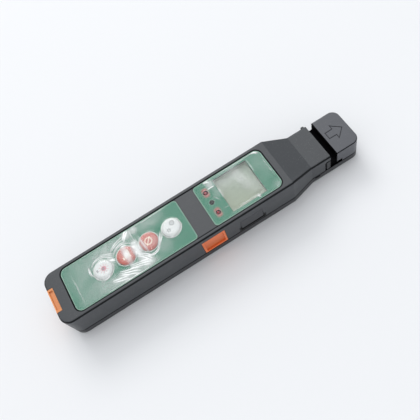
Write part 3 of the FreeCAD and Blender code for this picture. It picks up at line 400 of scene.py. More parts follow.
# %% Print groups
def build_ring_print():
    tree, given, out = new_group("ring_print", {"Centre": ORIGIN, "Radius": 6.0, "Line": 0.5}, {"Mask": "Float"})
    reach = length_of(tree, flat_place(tree, given["Vector"], given["Centre"]))
    off = sum_up(tree, "ABSOLUTE", sum_up(tree, "SUBTRACT", reach, given["Radius"]))
    fill(tree, out, {"Mask": inside(tree, sum_up(tree, "MULTIPLY_ADD", given["Line"], -0.5, off))})
    return tree


def build_panel_print():
    """Distance in millimetres from the outline of a rounded rectangle: below zero inside it."""
    sizes = {"Centre": ORIGIN, "Half Length": 5.0, "Half Width": 5.0, "Corner": 1.0, "Turn": 0.0}
    tree, given, out = new_group("panel_print", sizes, {"Mask": "Float", "Distance": "Float"})
    flat = flat_place(tree, given["Vector"], given["Centre"])
    turned = add_node(tree, "VectorRotate", {"Vector": flat, "Angle": given["Turn"]}, rotation_type="Z_AXIS")
    split, over = axes(tree, turned.outputs[0]), []
    for axis, half in (("X", "Half Length"), ("Y", "Half Width")):
        straight = sum_up(tree, "SUBTRACT", given[half], given["Corner"])
        over.append(sum_up(tree, "SUBTRACT", sum_up(tree, "ABSOLUTE", split[axis]), straight))
    outer = {axis: sum_up(tree, "MAXIMUM", value, 0.0) for axis, value in zip("XY", over)}
    corner = length_of(tree, add_node(tree, "CombineXYZ", outer).outputs[0])
    inner = sum_up(tree, "MINIMUM", sum_up(tree, "MAXIMUM", *over), 0.0)
    distance = sum_up(tree, "SUBTRACT", sum_up(tree, "ADD", corner, inner), given["Corner"])
    fill(tree, out, {"Mask": inside(tree, distance), "Distance": distance})
    return tree


def build_burst_print():
    """Rays round a centre, the usual sign for a laser's light."""
    sizes = {"Centre": ORIGIN, "Rays": 8.0, "Inner": 0.9, "Outer": 2.4}
    tree, given, out = new_group("burst_print", sizes, {"Mask": "Float"})
    flat = flat_place(tree, given["Vector"], given["Centre"])
    split, reach = axes(tree, flat), length_of(tree, flat)
    angle = sum_up(tree, "ARCTAN2", split["Y"], split["X"])
    comb = sum_up(tree, "COSINE", product(tree, angle, given["Rays"]))
    band = product(tree, inside(tree, sum_up(tree, "SUBTRACT", reach, given["Outer"])),
                   inside(tree, sum_up(tree, "SUBTRACT", given["Inner"], reach)))
    fill(tree, out, {"Mask": product(tree, ramp(tree, comb, 0.55, 0.8), band)})
    return tree


ring_print, panel_print, burst_print = build_ring_print(), build_panel_print(), build_burst_print()
print("node groups:", [g.name for g in bpy.data.node_groups])

# %% [markdown]
# ## Material helpers
# Each finish starts with a Principled shader and Object coordinates. Colours are easier to pick as they look on a
# screen, from 0 to 255, so a helper turns them into the linear values that shaders use.

# %% Material helpers
def screen(red, green, blue):
    def linear(c):
        c /= 255
        return c / 12.92 if c <= 0.04045 else ((c + 0.055) / 1.055) ** 2.4
    return (linear(red), linear(green), linear(blue), 1.0)


def dim(colour, share):
    return tuple(c * share for c in colour[:3]) + (1.0,)


def new_finish(name):
    """A new material with its node tree, its Principled shader and the socket of its Object coordinates."""
    material = bpy.data.materials.new(name)
    material.use_nodes = True
    tree = material.node_tree
    coat = tree.nodes["Principled BSDF"]
    place = add_node(tree, "TexCoord").outputs["Object"]
    return material, tree, coat, place


def link_bump(tree, coat, height, depth_mm):
    """Shades the surface as if the height, from 0 to 1, were depth_mm tall."""
    bump = add_node(tree, "Bump", {"Height": height, "Distance": depth_mm * MM})
    fill(tree, coat, {"Normal": bump.outputs[0]})


def dress(material, *names):
    for name in names:
        mesh = nodes[name].data
        mesh.materials.clear()
        mesh.materials.append(material)
    print(material.name, "on", ", ".join(names))


# %% [markdown]
# ### Moulded plastic
# Most pieces are moulded, so one helper makes that finish from the two groups. Rounded edges get a smoother finish and
# painted shade, a near-black colour for their dark look. A mask finds them by the height of the surface's normal: it is
# 0 on a wall and 1 on a flat top.

# %% Moulded plastic
# Each pair is the normal's height where the smoother, painted-dark edge starts and where it is full.
OFF_THE_WALL, OFF_THE_TOP = (0.04, 0.18), (0.95, 0.84)
# The first colour is painted shade for rounded edges; the second is real dust.
PAINTED_EDGE_SHADE, DUST_GREY = (0.006, 0.007, 0.008, 1.0), (0.4, 0.4, 0.39, 1.0)


def moulded_plastic(name, colour, roughness, grain=0.3, cloud=0.05, wear=0.25, depth=0.02, polish_and_edge_shade=0.0):
    """Grained plastic with scuffs, and with smoother edges that are painted dark as shade. It returns the pieces that a
    caller may build on.
    """
    material, tree, coat, place = new_finish(name)
    made = use_group(tree, moulded_grain, place, {"Colour": colour, "Grain Size": grain, "Cloudiness": cloud,
                                                  "Roughness": roughness})
    worn = use_group(tree, handling_wear, place, {"Amount": wear})
    pale = tuple(min(1.0, c * 1.7 + 0.05) for c in colour[:3]) + (1.0,)
    scuffed = blend_colours(tree, worn["Scuffs"], made["Colour"], pale)
    shade, rough = blend_colours(tree, worn["Dust"], scuffed, DUST_GREY), made["Roughness"]
    # Rounded edges: lower roughness, and painted shade with a metallic share that takes their gloss away.
    if polish_and_edge_shade:
        upward = axes(tree, add_node(tree, "TexCoord").outputs["Normal"])["Z"]
        edge = product(tree, ramp(tree, upward, *OFF_THE_WALL), ramp(tree, upward, *OFF_THE_TOP))
        shade = blend_colours(tree, product(tree, edge, polish_and_edge_shade), shade, PAINTED_EDGE_SHADE)
        rough = sum_up(tree, "MULTIPLY_ADD", edge, -0.15, rough)
        fill(tree, coat, {"Metallic": product(tree, edge, 0.85 * polish_and_edge_shade)})
    fill(tree, coat, {"Base Color": shade, "Roughness": rough})
    link_bump(tree, coat, made["Height"], depth)
    return material, tree, coat, place, shade


# %% [markdown]
# ## The grey case
# The case is dark grey ABS with a fine eroded grain. The cap of the hook is a paler grey, which is painted light.
# Rounded edges are painted dark as shade. Masks by place paint shade into the seam, the groove round each label, the
# fingernail gap under the flap, the arrow cut in the hook and the hook's face in the slot.

# %% Painted shade in the case's joints
# The near-black that the masks paint into the case's joints as shade.
PAINTED_SHADE_BLACK = (0.002, 0.002, 0.003, 1.0)


def slab(tree, split, axis, low, high, edge=0.1):
    """1 where the place is between two planes, which are given in millimetres."""
    here = product(tree, split[axis], 1000.0)
    return product(tree, ramp(tree, here, low - edge, low + edge), ramp(tree, here, high - edge, high + edge, 1.0, 0.0))


def darken(tree, coat, shade, mask, share):
    """Paints shade: black where the mask is 1. A black metal mirrors nothing, so the mask takes the gloss away as well.
    """
    part = product(tree, mask, share)
    dark = blend_colours(tree, part, shade, PAINTED_SHADE_BLACK)
    before = coat.inputs["Metallic"].links
    dull = sum_up(tree, "MAXIMUM", before[0].from_socket, part) if before else part
    fill(tree, coat, {"Base Color": dark, "Metallic": dull})
    return dark


# %% Places of the case's joints
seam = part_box("head_cap")[0].z / MM
flap_low, flap_high = (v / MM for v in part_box("port_flap"))
keypad_low, keypad_high = (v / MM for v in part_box("keypad_label"))
display_low, display_high = (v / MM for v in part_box("display_label"))
# All in millimetres: how far shade reaches from the seam, the labels' gap and corners, how far the flap's pocket
# reaches past the flap, and the arrow's near and far end from the slot, its half width and its groove's depth and lip.
SEAM_BELOW, SEAM_ABOVE = 0.35, 0.75
LABEL_GAP, OUTER_CORNER, INNER_CORNER = 0.35, 4.0, 2.2
POCKET_SIDE, POCKET_DEPTH, POCKET_BELOW, POCKET_ABOVE = 0.85, 0.5, 1.7, 2.6
ARROW_NEAR, ARROW_FAR, ARROW_HALF, ARROW_DEPTH, ARROW_LIP = 1.6, 13.8, 6.2, 0.5, 0.06
print("seam height mm:", round(seam, 2))


# %% Shade in the case's joints
# Painted shade in the groove round the two labels.
def shade_label_groove(tree, coat, place, split, shade):
    low, high = keypad_low.x - LABEL_GAP, display_high.x + LABEL_GAP
    recess = use_group(tree, panel_print, place, {
        "Centre": ((low + high) / 2 * MM, 0.0, 0.0), "Half Length": (high - low) / 2,
        "Half Width": keypad_high.y + LABEL_GAP, "Corner": OUTER_CORNER + LABEL_GAP})
    off = sum_up(tree, "ABSOLUTE", sum_up(tree, "SUBTRACT", recess["Distance"], 0.05))
    level = slab(tree, split, "Z", display_low.z - 0.3, display_high.z + 0.6, 0.05)
    return darken(tree, coat, shade, product(tree, ramp(tree, off, 0.28, 0.5, 1.0, 0.0), level), 0.92)


# Painted shade in the fingernail gap round the flap.
def shade_flap_pocket(tree, coat, split, shade):
    pocket = product(tree, slab(tree, split, "X", flap_low.x - POCKET_SIDE, flap_high.x + POCKET_SIDE),
                     slab(tree, split, "Z", flap_low.z - POCKET_BELOW, flap_low.z + POCKET_ABOVE),
                     slab(tree, split, "Y", flap_low.y - POCKET_DEPTH, flap_high.y + POCKET_DEPTH))
    darken(tree, coat, shade, pocket, 0.97)


# Painted shade in the arrow's groove and on the hook's face in the slot.
def shade_arrow_and_face(tree, coat, split, shade):
    face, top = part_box("head_cap")[0].x / MM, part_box("head_cap")[1].z / MM
    groove = product(tree, slab(tree, split, "X", face + ARROW_NEAR, face + ARROW_FAR),
                     slab(tree, split, "Y", -ARROW_HALF, ARROW_HALF),
                     slab(tree, split, "Z", top - ARROW_DEPTH, top - ARROW_LIP, 0.03))
    shade = darken(tree, coat, shade, groove, 0.6)
    darken(tree, coat, shade, slab(tree, split, "X", face - 1.0, face + 0.3, 0.06), 0.95)


# %% Case plastic
# The last grey, for the hook's cap, is paler than the case's: painted light.
CASE_GREY, LOWER_GREY, HEAD_GREY_PAINTED_LIGHT = screen(57, 60, 64), screen(40, 42, 46), screen(79, 81, 87)


def build_case(name, colour, *pieces):
    material, tree, coat, place, shade = moulded_plastic(name, colour, 0.40, depth=0.018, polish_and_edge_shade=0.92)
    split = axes(tree, place)
    # Painted shade along the seam between the shells.
    shade = darken(tree, coat, shade, slab(tree, split, "Z", seam - SEAM_BELOW, seam + SEAM_ABOVE), 0.97)
    dress(material, *pieces)
    return tree, coat, place, split, shade


tree, coat, place, split, shade = build_case("case_plastic", CASE_GREY, "upper_shell")
shade = shade_label_groove(tree, coat, place, split, shade)
shade_flap_pocket(tree, coat, split, shade)
build_case("lower_case_plastic", LOWER_GREY, "lower_shell", "battery_door")
tree, coat, place, split, shade = build_case("head_plastic", HEAD_GREY_PAINTED_LIGHT, "head_cap")
shade_arrow_and_face(tree, coat, split, shade)

# %% [markdown]
# ## Jaw, slot block and flap
# The jaw is glass-filled plastic, a little darker and glossier than the case. The block that lines the slot is dull
# black, so that no stray light reaches the detectors. The flap over the socket is soft rubber with a smooth skin, and
# its rim is painted dark, as painted shade from its pocket.

# %% Jaw, slot block and flap
# The jaw's rounded edges also get the painted edge shade.
dress(moulded_plastic("jaw_plastic", screen(36, 38, 42), 0.4, grain=0.22, polish_and_edge_shade=0.6)[0], "jaw_block", "follower")
material, tree, coat, place, shade = moulded_plastic("slot_black", screen(6, 6, 8), 0.9, grain=0.18, cloud=0.03,
                                                     wear=0.0)
fill(tree, coat, {"Specular IOR Level": 0.03})
dress(material, "anvil_block", "slot_block")
material, tree, coat, place, shade = moulded_plastic("flap_rubber", screen(60, 62, 66), 0.52, grain=0.5, cloud=0.04,
                                                     wear=0.12)
# Painted shade on the flap's rim, outside its middle and low down.
split = axes(tree, place)
middle = product(tree, slab(tree, split, "X", flap_low.x + 0.4, flap_high.x - 0.4),
                 slab(tree, split, "Z", flap_low.z + 0.6, flap_high.z + 1.0))
below = slab(tree, split, "Z", flap_low.z - 1.0, flap_low.z + POCKET_ABOVE)
darken(tree, coat, shade, product(tree, opposite(tree, middle), below), 0.9)
dress(material, "port_flap")

# %% [markdown]
# ## Orange side key and tail cover
# Both are moulded in a glossy signal orange. The sunk face of each is painted a little darker and browner than its rim,
# as painted shade in its recess. The mask is the distance behind the rim's plane.

# %% Orange plastic
def build_orange(name, base, node, axis, sink):
    """sink is how far in millimetres the face lies behind the rim, which is the node's lowest place on the axis."""
    material, tree, coat, place, colour = moulded_plastic(name, base, 0.34, grain=0.25, cloud=0.03, wear=0.2)
    rim = getattr(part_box(node)[0], axis.lower())
    depth = product(tree, sum_up(tree, "SUBTRACT", axes(tree, place)[axis], rim), 1000.0)
    # Painted shade: the face behind the rim is darker and browner.
    painted_recess_shade = ramp(tree, depth, 0.4 * sink, 0.9 * sink, 0.0, 0.75)
    fill(tree, coat, {"Base Color": blend_colours(tree, painted_recess_shade, colour, dim(base, 0.7))})
    dress(material, node)


build_orange("side_key_orange", screen(238, 122, 66), "trigger_key", "Y", 1.1)
build_orange("tail_cover_orange", screen(240, 156, 96), "port_cover", "X", 0.9)

# %% [markdown]
# ## Printed labels
# The two labels are polyester sheets printed green from behind, with a fine matt hardcoat. The print has a pale line
# round its edge, a white ring round each key, and a red patch behind each of the two direction lamps. The prints are
# masks in the material, because ink has no thickness to model.

# %% Label print
LABEL_GREEN, EDGE_GREEN, PRINT_WHITE = screen(50, 123, 99), screen(176, 200, 186), screen(222, 228, 222)


def build_label(name, node, *corners):
    """The two corners are the radii in millimetres at the low and at the high end of X."""
    material, tree, coat, place = new_finish(name)
    low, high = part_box(node)
    centre, half = (low + high) / 2, (high - low) / 2 / MM
    made = use_group(tree, moulded_grain, place, {"Colour": LABEL_GREEN, "Grain Size": 0.16, "Cloudiness": 0.03,
                                                  "Roughness": 0.36})
    corner = ramp(tree, axes(tree, place)["X"], centre.x - MM, centre.x + MM, *corners)
    panel = use_group(tree, panel_print, place, {"Centre": centre, "Half Length": half.x, "Half Width": half.y,
                                                 "Corner": corner})
    edge = ramp(tree, panel["Distance"], -0.56, -0.40, 0.0, 0.55)
    fill(tree, coat, {"Roughness": made["Roughness"], "Specular IOR Level": 0.3})
    link_bump(tree, coat, made["Height"], 0.0012)
    dress(material, node)
    return tree, coat, place, blend_colours(tree, edge, made["Colour"], EDGE_GREEN)


# %% Keypad label with its key rings
tree, coat, place, colour = build_label("keypad_label_print", "keypad_label", OUTER_CORNER, INNER_CORNER)
for name in KEY_NODES:
    ring = use_group(tree, ring_print, place, {"Centre": key_centres[name], "Radius": 6.0, "Line": 0.55})
    colour = blend_colours(tree, ring["Mask"], colour, PRINT_WHITE)
fill(tree, coat, {"Base Color": colour})

# %% Display label with its lamp patches
tree, coat, place, colour = build_label("display_label_print", "display_label", INNER_CORNER, OUTER_CORNER)
for name in ("lamp_left", "lamp_right"):
    patch = use_group(tree, panel_print, place, {"Centre": lamp_centres[name], "Half Length": 1.9,
                                                 "Half Width": 3.2, "Corner": 1.6})
    colour = blend_colours(tree, ramp(tree, patch["Distance"], -1.9, 0.9, 0.9, 0.0), colour, screen(206, 92, 100))
for name in LAMP_NODES:
    ring = use_group(tree, ring_print, place, {"Centre": lamp_centres[name], "Radius": 1.72, "Line": 0.3})
    colour = blend_colours(tree, product(tree, ring["Mask"], 0.25), colour, PRINT_WHITE)
fill(tree, coat, {"Base Color": colour})

# %% [markdown]
# ## The four keys
# The keys are silicone rubber with a hard coat. The outer two are white and the inner two are red. Each has a plain
# sign: a burst for the laser, rising bars for the tone, a crossed ring for setting zero, and a small ring for power.

# %% Keys
KEY_WHITE, KEY_RED = screen(222, 222, 223), screen(194, 100, 90)
ROSE, CREAM, GREY_INK, DARK_INK = (screen(*ink) for ink in (
    (205, 120, 136), (244, 232, 214), (128, 122, 130), (84, 84, 92)))


def build_key(node, base, *marks):
    """Each mark is a print group, its place from the key's centre, its sizes, its ink and how strong the ink is."""
    material, tree, coat, place = new_finish(node + "_rubber")
    made = use_group(tree, moulded_grain, place, {"Colour": base, "Grain Size": 0.35, "Cloudiness": 0.03,
                                                  "Roughness": 0.38})
    colour = made["Colour"]
    for group, shift, sizes, ink, strength in marks:
        spot = key_centres[node] + Vector((*shift, 0)) * MM
        mask = use_group(tree, group, place, {"Centre": spot, **sizes})["Mask"]
        colour = blend_colours(tree, product(tree, mask, strength), colour, ink)
    fill(tree, coat, {"Base Color": colour, "Roughness": made["Roughness"], "Coat Weight": 0.4, "Coat Roughness": 0.2})
    link_bump(tree, coat, made["Height"], 0.008)
    dress(material, node)


build_key("key_laser", KEY_WHITE,
          (burst_print, (0.6, 0.2), {"Rays": 10.0, "Inner": 1.2, "Outer": 3.0}, ROSE, 0.6),
          (ring_print, (0.6, 0.2), {"Radius": 0.0, "Line": 3.0}, ROSE, 0.9),
          (ring_print, (0.2, 0.2), {"Radius": 0.0, "Line": 1.9}, GREY_INK, 0.65),
          (panel_print, (-3.3, 0.6), {"Half Length": 0.55, "Half Width": 0.9, "Corner": 0.5}, GREY_INK, 0.75))
build_key("key_tone", KEY_RED, *(
    (panel_print, (x, y), {"Half Length": 0.45, "Half Width": half, "Corner": 0.4}, CREAM, 0.85)
    for x, y, half in ((-1.9, -1.5, 0.9), (-0.6, -0.9, 1.5), (0.7, -0.3, 2.1), (2.0, 0.3, 2.7))))
build_key("key_zero", KEY_RED,
          (ring_print, (0.0, 0.0), {"Radius": 2.1, "Line": 0.7}, CREAM, 0.75),
          (panel_print, (0.0, 0.0), {"Half Length": 0.28, "Half Width": 3.1, "Corner": 0.2, "Turn": 0.7}, CREAM, 0.75))
build_key("key_power", KEY_WHITE,
          (ring_print, (1.6, 2.0), {"Radius": 1.3, "Line": 0.42}, DARK_INK, 0.95),
          (panel_print, (1.6, 2.0), {"Half Length": 0.3, "Half Width": 0.3, "Corner": 0.2}, DARK_INK, 0.9),
          (ring_print, (-1.9, -1.1), {"Radius": 0.7, "Line": 0.32}, DARK_INK, 0.85),
          (burst_print, (-1.9, -1.1), {"Rays": 6.0, "Inner": 0.9, "Outer": 1.45}, DARK_INK, 0.8))

# %% [markdown]
# ## Lamps
# Each lamp is a 3 mm lens in tinted epoxy. Its middle is painted brighter than its rim, as painted light for the light
# that comes back from the bowl below. The middle lamp has a smoke-dark lens.

# %% Lamps
BOWL_SHIFT = Vector((-0.15, 0.2, 0)) * MM


def build_lens(name, node, deep, lit):
    material, tree, coat, place = new_finish(name)
    reach = length_of(tree, flat_place(tree, place, lamp_centres[node] + BOWL_SHIFT))
    swirl = speckle(tree, place, 900.0, 2.0)
    # Painted light: the middle of the lens takes the lit colour.
    painted_bowl_light = ramp(tree, sum_up(tree, "MULTIPLY_ADD", swirl, 0.5, reach), 0.35, 1.35, 1.0, 0.0)
    fill(tree, coat, {"Base Color": blend_colours(tree, painted_bowl_light, deep, lit),
                      "Roughness": sum_up(tree, "MULTIPLY_ADD", swirl, 0.1, 0.06), "IOR": 1.4,
                      "Specular IOR Level": 0.28})
    dress(material, node)


for name in ("lamp_left", "lamp_right"):
    build_lens(name + "_lens", name, screen(106, 16, 30), screen(170, 62, 74))
build_lens("lamp_tone_lens", "lamp_tone", screen(10, 12, 11), screen(34, 38, 36))

# %% [markdown]
# ## Display
# Behind the window lies a reflective liquid crystal panel in a pale frame. When it is off it is a flat grey-green with
# the faint ghosts of its segments. The ghosts are bars set out as three digits of seven segments.

# %% Display panel
DIGIT_HEIGHT, DIGIT_WIDTH, DIGIT_PITCH = 9.0, 4.6, 6.4
SEGMENT_SIZES = {"Half Length": 1.9, "Half Width": 0.42, "Corner": 0.3}


def segment_places():
    """Places in millimetres from the panel's middle, and turns, of the segments of three digits along the bar."""
    spots = []
    for x in (-DIGIT_PITCH, 0.0, DIGIT_PITCH):
        spots += [(x, y, 0.0) for y in (-DIGIT_HEIGHT / 2, 0.0, DIGIT_HEIGHT / 2)]
        spots += [(x + side * DIGIT_WIDTH / 2, row * DIGIT_HEIGHT / 4, math.pi / 2)
                  for side in (-1, 1) for row in (-1, 1)]
    return spots


def build_panel():
    material, tree, coat, place = new_finish("crystal_panel")
    centre = centre_of("display_panel")
    made = use_group(tree, moulded_grain, place, {"Colour": screen(176, 181, 170), "Grain Size": 1.6,
                                                  "Cloudiness": 0.02, "Roughness": 0.3})
    flat = axes(tree, flat_place(tree, place, centre))
    # Painted shading: the panel is warmer and darker towards its corner at low X and low Y.
    painted_slant_shade = sum_up(tree, "MULTIPLY_ADD", flat["X"], -0.6, product(tree, flat["Y"], -1.0))
    colour = blend_colours(tree, ramp(tree, painted_slant_shade, -14.0, 14.0), made["Colour"], screen(168, 170, 150))
    for x, y, turn in segment_places():
        spot = (centre.x + x * MM, centre.y + y * MM, 0.0)
        bar = use_group(tree, panel_print, place, {"Centre": spot, "Turn": turn, **SEGMENT_SIZES})
        colour = blend_colours(tree, product(tree, bar["Mask"], 0.06), colour, screen(90, 98, 92))
    fill(tree, coat, {"Base Color": colour, "Roughness": made["Roughness"]})
    dress(material, "display_panel")


build_panel()
dress(moulded_plastic("display_frame_grey", screen(168, 174, 164), 0.5, grain=0.2, wear=0.05)[0], "display_frame")

# %% [markdown]
# ## Display window
# The window is clear acrylic. A clear surface is made here by mixing a Transparent shader with a pale mirror by
# Fresnel, so it shows the panel and still catches the lamps.

# %% Display window
def outer_side(tree):
    """1 on the side of a wall that faces out, and 0 on the other."""
    return opposite(tree, add_node(tree, "NewGeometry").outputs["Backfacing"])


def build_window():
    material, tree, coat, place = new_finish("window_acrylic")
    fill(tree, coat, {"Base Color": (0.86, 0.9, 0.87, 1), "Metallic": 1.0,
                      "Roughness": ramp(tree, speckle(tree, place, 160.0, 4.0), 0.35, 0.7, 0.04, 0.14)})
    gloss = add_node(tree, "Fresnel", {"IOR": 1.49}).outputs[0]
    let_through(tree, coat, product(tree, gloss, outer_side(tree)), (0.95, 0.97, 0.96, 1))
    dress(material, "display_window")


build_window()

# %% [markdown]
# ## Metal pieces
# Screws, springs and contacts are zinc-plated steel, the ferrule sleeve is polished, and the laser's barrel is brass.
# Rolled and turned metal shows fine lines, so a noise that is stretched along the work changes the roughness.

# %% Metals
def stretched(tree, place, stretch, detail, roughness=0.5):
    """Noise that repeats stretch times in a metre of X, Y and Z."""
    run = add_node(tree, "Mapping", {"Vector": place, "Scale": stretch}).outputs[0]
    return speckle(tree, run, 1.0, detail, roughness)


def build_metal(name, colour, roughness, stretch, *names):
    material, tree, coat, place = new_finish(name)
    lines = stretched(tree, place, stretch, 3.0, 0.6)
    blot = ramp(tree, speckle(tree, place, 500.0, 2.0), 0.45, 0.75, 0.0, 0.5)
    fill(tree, coat, {"Base Color": blend_colours(tree, blot, colour, dim(colour, 0.55)), "Metallic": 1.0,
                      "Roughness": sum_up(tree, "MULTIPLY_ADD", lines, 0.25, roughness - 0.1)})
    link_bump(tree, coat, lines, 0.004)
    dress(material, *names)


ZINC, STEEL, BRASS = screen(176, 178, 182), screen(198, 199, 202), screen(206, 172, 104)
build_metal("zinc_screws", ZINC, 0.34, (3000.0, 3000.0, 3000.0), "case_screws", "board_screws")
build_metal("spring_steel", STEEL, 0.25, (4000.0, 900.0, 4000.0), "cell_springs", "contact_plates", "cover_pin")
build_metal("ground_steel", STEEL, 0.2, (400.0, 5000.0, 5000.0), "push_rod", "port_sleeve", "service_socket")
build_metal("laser_brass", BRASS, 0.28, (6000.0, 300.0, 300.0), "laser_module")

# %% [markdown]
# ### The return spring
# The jaw's spring shortens as the side key is pressed. The CAD coil is replaced by a coil built here, which rides on
# the housing. A coil is a small circle that is spun round an axis while each step also moves it along: the spin
# operator's dvec does that.

# %% Return spring
SPRING_WIRE, SPRING_TURNS, STEPS_PER_TURN, WIRE_SIDES = 0.5 * MM, 5, 24, 10


def build_return_spring():
    low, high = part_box("return_spring")
    middle, length = (low + high) / 2, high.x - low.x
    mean_radius = (high.y - low.y - SPRING_WIRE) / 2
    steps = SPRING_TURNS * STEPS_PER_TURN
    shape = bmesh.new()
    first = Matrix.Translation((low.x + SPRING_WIRE / 2, middle.y + mean_radius, middle.z))
    bmesh.ops.create_circle(shape, segments=WIRE_SIDES, radius=SPRING_WIRE / 2, matrix=first)
    ends = [shape.edges[:]]
    made = bmesh.ops.spin(shape, geom=shape.verts[:] + shape.edges[:], cent=(low.x, middle.y, middle.z), axis=(1, 0, 0),
                          dvec=((length - SPRING_WIRE) / steps, 0, 0), angle=2 * math.pi * SPRING_TURNS, steps=steps)
    ends.append([piece for piece in made["geom_last"] if isinstance(piece, bmesh.types.BMEdge)])
    for ring in ends:
        bmesh.ops.contextual_create(shape, geom=ring)
    bmesh.ops.recalc_face_normals(shape, faces=shape.faces)
    for face in shape.faces:
        face.smooth = len(face.verts) == 4
    spring = add_piece("return_spring_coil", shape)
    spring.data.materials.append(bpy.data.materials["spring_steel"])
    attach(spring, "housing")
    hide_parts("return_spring")
    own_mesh(spring)


build_return_spring()

# %% [markdown]
# ## Batteries, rating plate and inner parts
# These show when the battery door or the covers are open. A cell's wrap is printed in bands, and its bare end is
# steel. The rating plate in the underside is a blank foil with a fine printed frame.

# %% Battery cells
def build_cells():
    material, tree, coat, place = new_finish("cell_wrap")
    low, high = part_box("cell_left")
    share = sum_up(tree, "DIVIDE", sum_up(tree, "SUBTRACT", axes(tree, place)["X"], low.x), high.x - low.x)
    colour = blend_colours(tree, ramp(tree, share, 0.68, 0.685), screen(44, 48, 54), screen(186, 142, 62))
    bare = sum_up(tree, "MAXIMUM", ramp(tree, share, 0.955, 0.965), ramp(tree, share, 0.012, 0.006))
    fill(tree, coat, {"Base Color": blend_colours(tree, bare, colour, screen(190, 190, 192)), "Metallic": bare,
                      "Roughness": sum_up(tree, "MULTIPLY_ADD", speckle(tree, place, 300.0, 3.0), 0.15, 0.2)})
    dress(material, "cell_left", "cell_right")


build_cells()

# %% Rating plate
PLATE_MARGIN = 1.2


def build_plate():
    material, tree, coat, place = new_finish("plate_foil")
    low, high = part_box("rating_plate")
    lines = stretched(tree, place, (200.0, 6000.0, 200.0), 2.0)
    panel = use_group(tree, panel_print, place, {
        "Centre": (low + high) / 2, "Half Length": (high.x - low.x) / 2 / MM - PLATE_MARGIN,
        "Half Width": (high.y - low.y) / 2 / MM - PLATE_MARGIN, "Corner": 0.8})
    border = ramp(tree, sum_up(tree, "ABSOLUTE", panel["Distance"]), 0.1, 0.2, 1.0, 0.0)
    fill(tree, coat, {"Base Color": blend_colours(tree, border, screen(176, 178, 180), screen(60, 62, 66)),
                      "Roughness": sum_up(tree, "MULTIPLY_ADD", lines, 0.2, 0.3), "Metallic": 0.6})
    dress(material, "rating_plate")


build_plate()


# %% Boards and small parts
def build_board():
    material, tree, coat, place = new_finish("solder_mask")
    cells = add_node(tree, "TexVoronoi", {"Vector": place, "Scale": 700.0}, feature="DISTANCE_TO_EDGE",
                     distance="MANHATTAN")
    tracks = ramp(tree, cells.outputs["Distance"], 0.05, 0.09)
    fill(tree, coat, {"Base Color": blend_colours(tree, tracks, screen(38, 112, 66), screen(16, 78, 46)),
                      "Roughness": sum_up(tree, "MULTIPLY_ADD", tracks, 0.15, 0.22)})
    link_bump(tree, coat, tracks, 0.01)
    dress(material, "main_board", "detector_board")


build_board()
dress(moulded_plastic("dark_parts", screen(30, 31, 33), 0.42, grain=0.2, wear=0.05)[0],
      "tact_switches", "processor", "sounder", "photodiode_left", "photodiode_right")
dress(moulded_plastic("lead_sleeve", screen(176, 34, 30), 0.4, grain=0.2, wear=0.0)[0], "laser_leads")
dress(moulded_plastic("flex_foil", screen(176, 112, 40), 0.3, grain=0.25, wear=0.0)[0], "detector_flex")

# %% [markdown]
# ## The two creased films
# The tester is new, so both labels still carry their clear protective film. The film stands up over the keys in soft
# domes, is drawn into tents between them, and is creased where fingers pressed it. It could be one flat sheet with a
# bump texture, but real tents change the outline of the glints. So a fine grid is lifted by a height that adds up
# domes, tents and strands of creases. Where a crease is sharp the film turns cloudy white, and glare is painted in as
# the same whiteness along the creases, round the keys and over broad areas. Both are kept as one attribute.

# %% Where the creases are
# A bundle of creases: start x and y, end x and y, sideways bow, strands, spacing and half width, all in millimetres,
# then strength.
KEYPAD_CREASES = [
    (-64.5, -9.8, -53.0, -13.4, 0.4, 2, 1.7, 0.50, 0.95), (-60.0, -7.4, -47.0, -12.8, 0.4, 3, 1.6, 0.42, 1.2),
    (-52.0, -7.6, -39.0, -11.6, 0.5, 3, 1.45, 0.42, 1.0), (-74.0, -13.8, -43.0, -13.7, 0.0, 1, 0.0, 0.42, 1.0),
    (-45.8, -3.0, -38.6, -9.6, 0.6, 3, 1.3, 0.42, 1.0), (-68.6, -5.9, -63.2, -4.6, -0.9, 1, 0.0, 0.50, 0.8),
    (-45.6, 5.2, -41.0, 5.1, -0.3, 2, 0.9, 0.38, 0.6), (-73.0, 6.2, -72.9, -1.0, -0.5, 2, 0.8, 0.42, 1.0),
    (-71.6, 5.0, -60.5, 5.6, 2.6, 2, 0.9, 0.34, 0.8), (-64.5, 8.8, -57.0, 3.8, 0.3, 3, 1.15, 0.34, 0.8),
    (-60.4, 3.2, -57.0, 1.4, 0.0, 2, 0.8, 0.42, 1.2), (-57.8, 3.8, -44.4, 5.2, 3.6, 2, 1.0, 0.36, 0.8),
    (-58.0, 7.6, -46.6, 11.4, 0.8, 2, 1.25, 0.42, 0.85), (-48.6, 8.6, -44.2, 14.4, 0.3, 2, 1.3, 0.75, 1.1),
    (-43.0, 14.4, -42.8, 5.4, 0.0, 1, 0.0, 0.34, 0.5), (-42.8, -4.2, -30.0, -3.4, -4.5, 2, 0.9, 0.42, 1.1),
    (-32.0, -5.4, -27.0, 1.0, -0.3, 3, 0.75, 0.38, 1.0), (-26.4, -4.2, -15.2, -1.6, -2.9, 2, 0.8, 0.36, 0.8),
    (-40.0, 13.7, -17.0, 13.4, 0.0, 1, 0.0, 0.36, 0.75), (-84.0, 12.0, -83.6, -13.0, 0.2, 1, 0.0, 0.6, 0.22)]
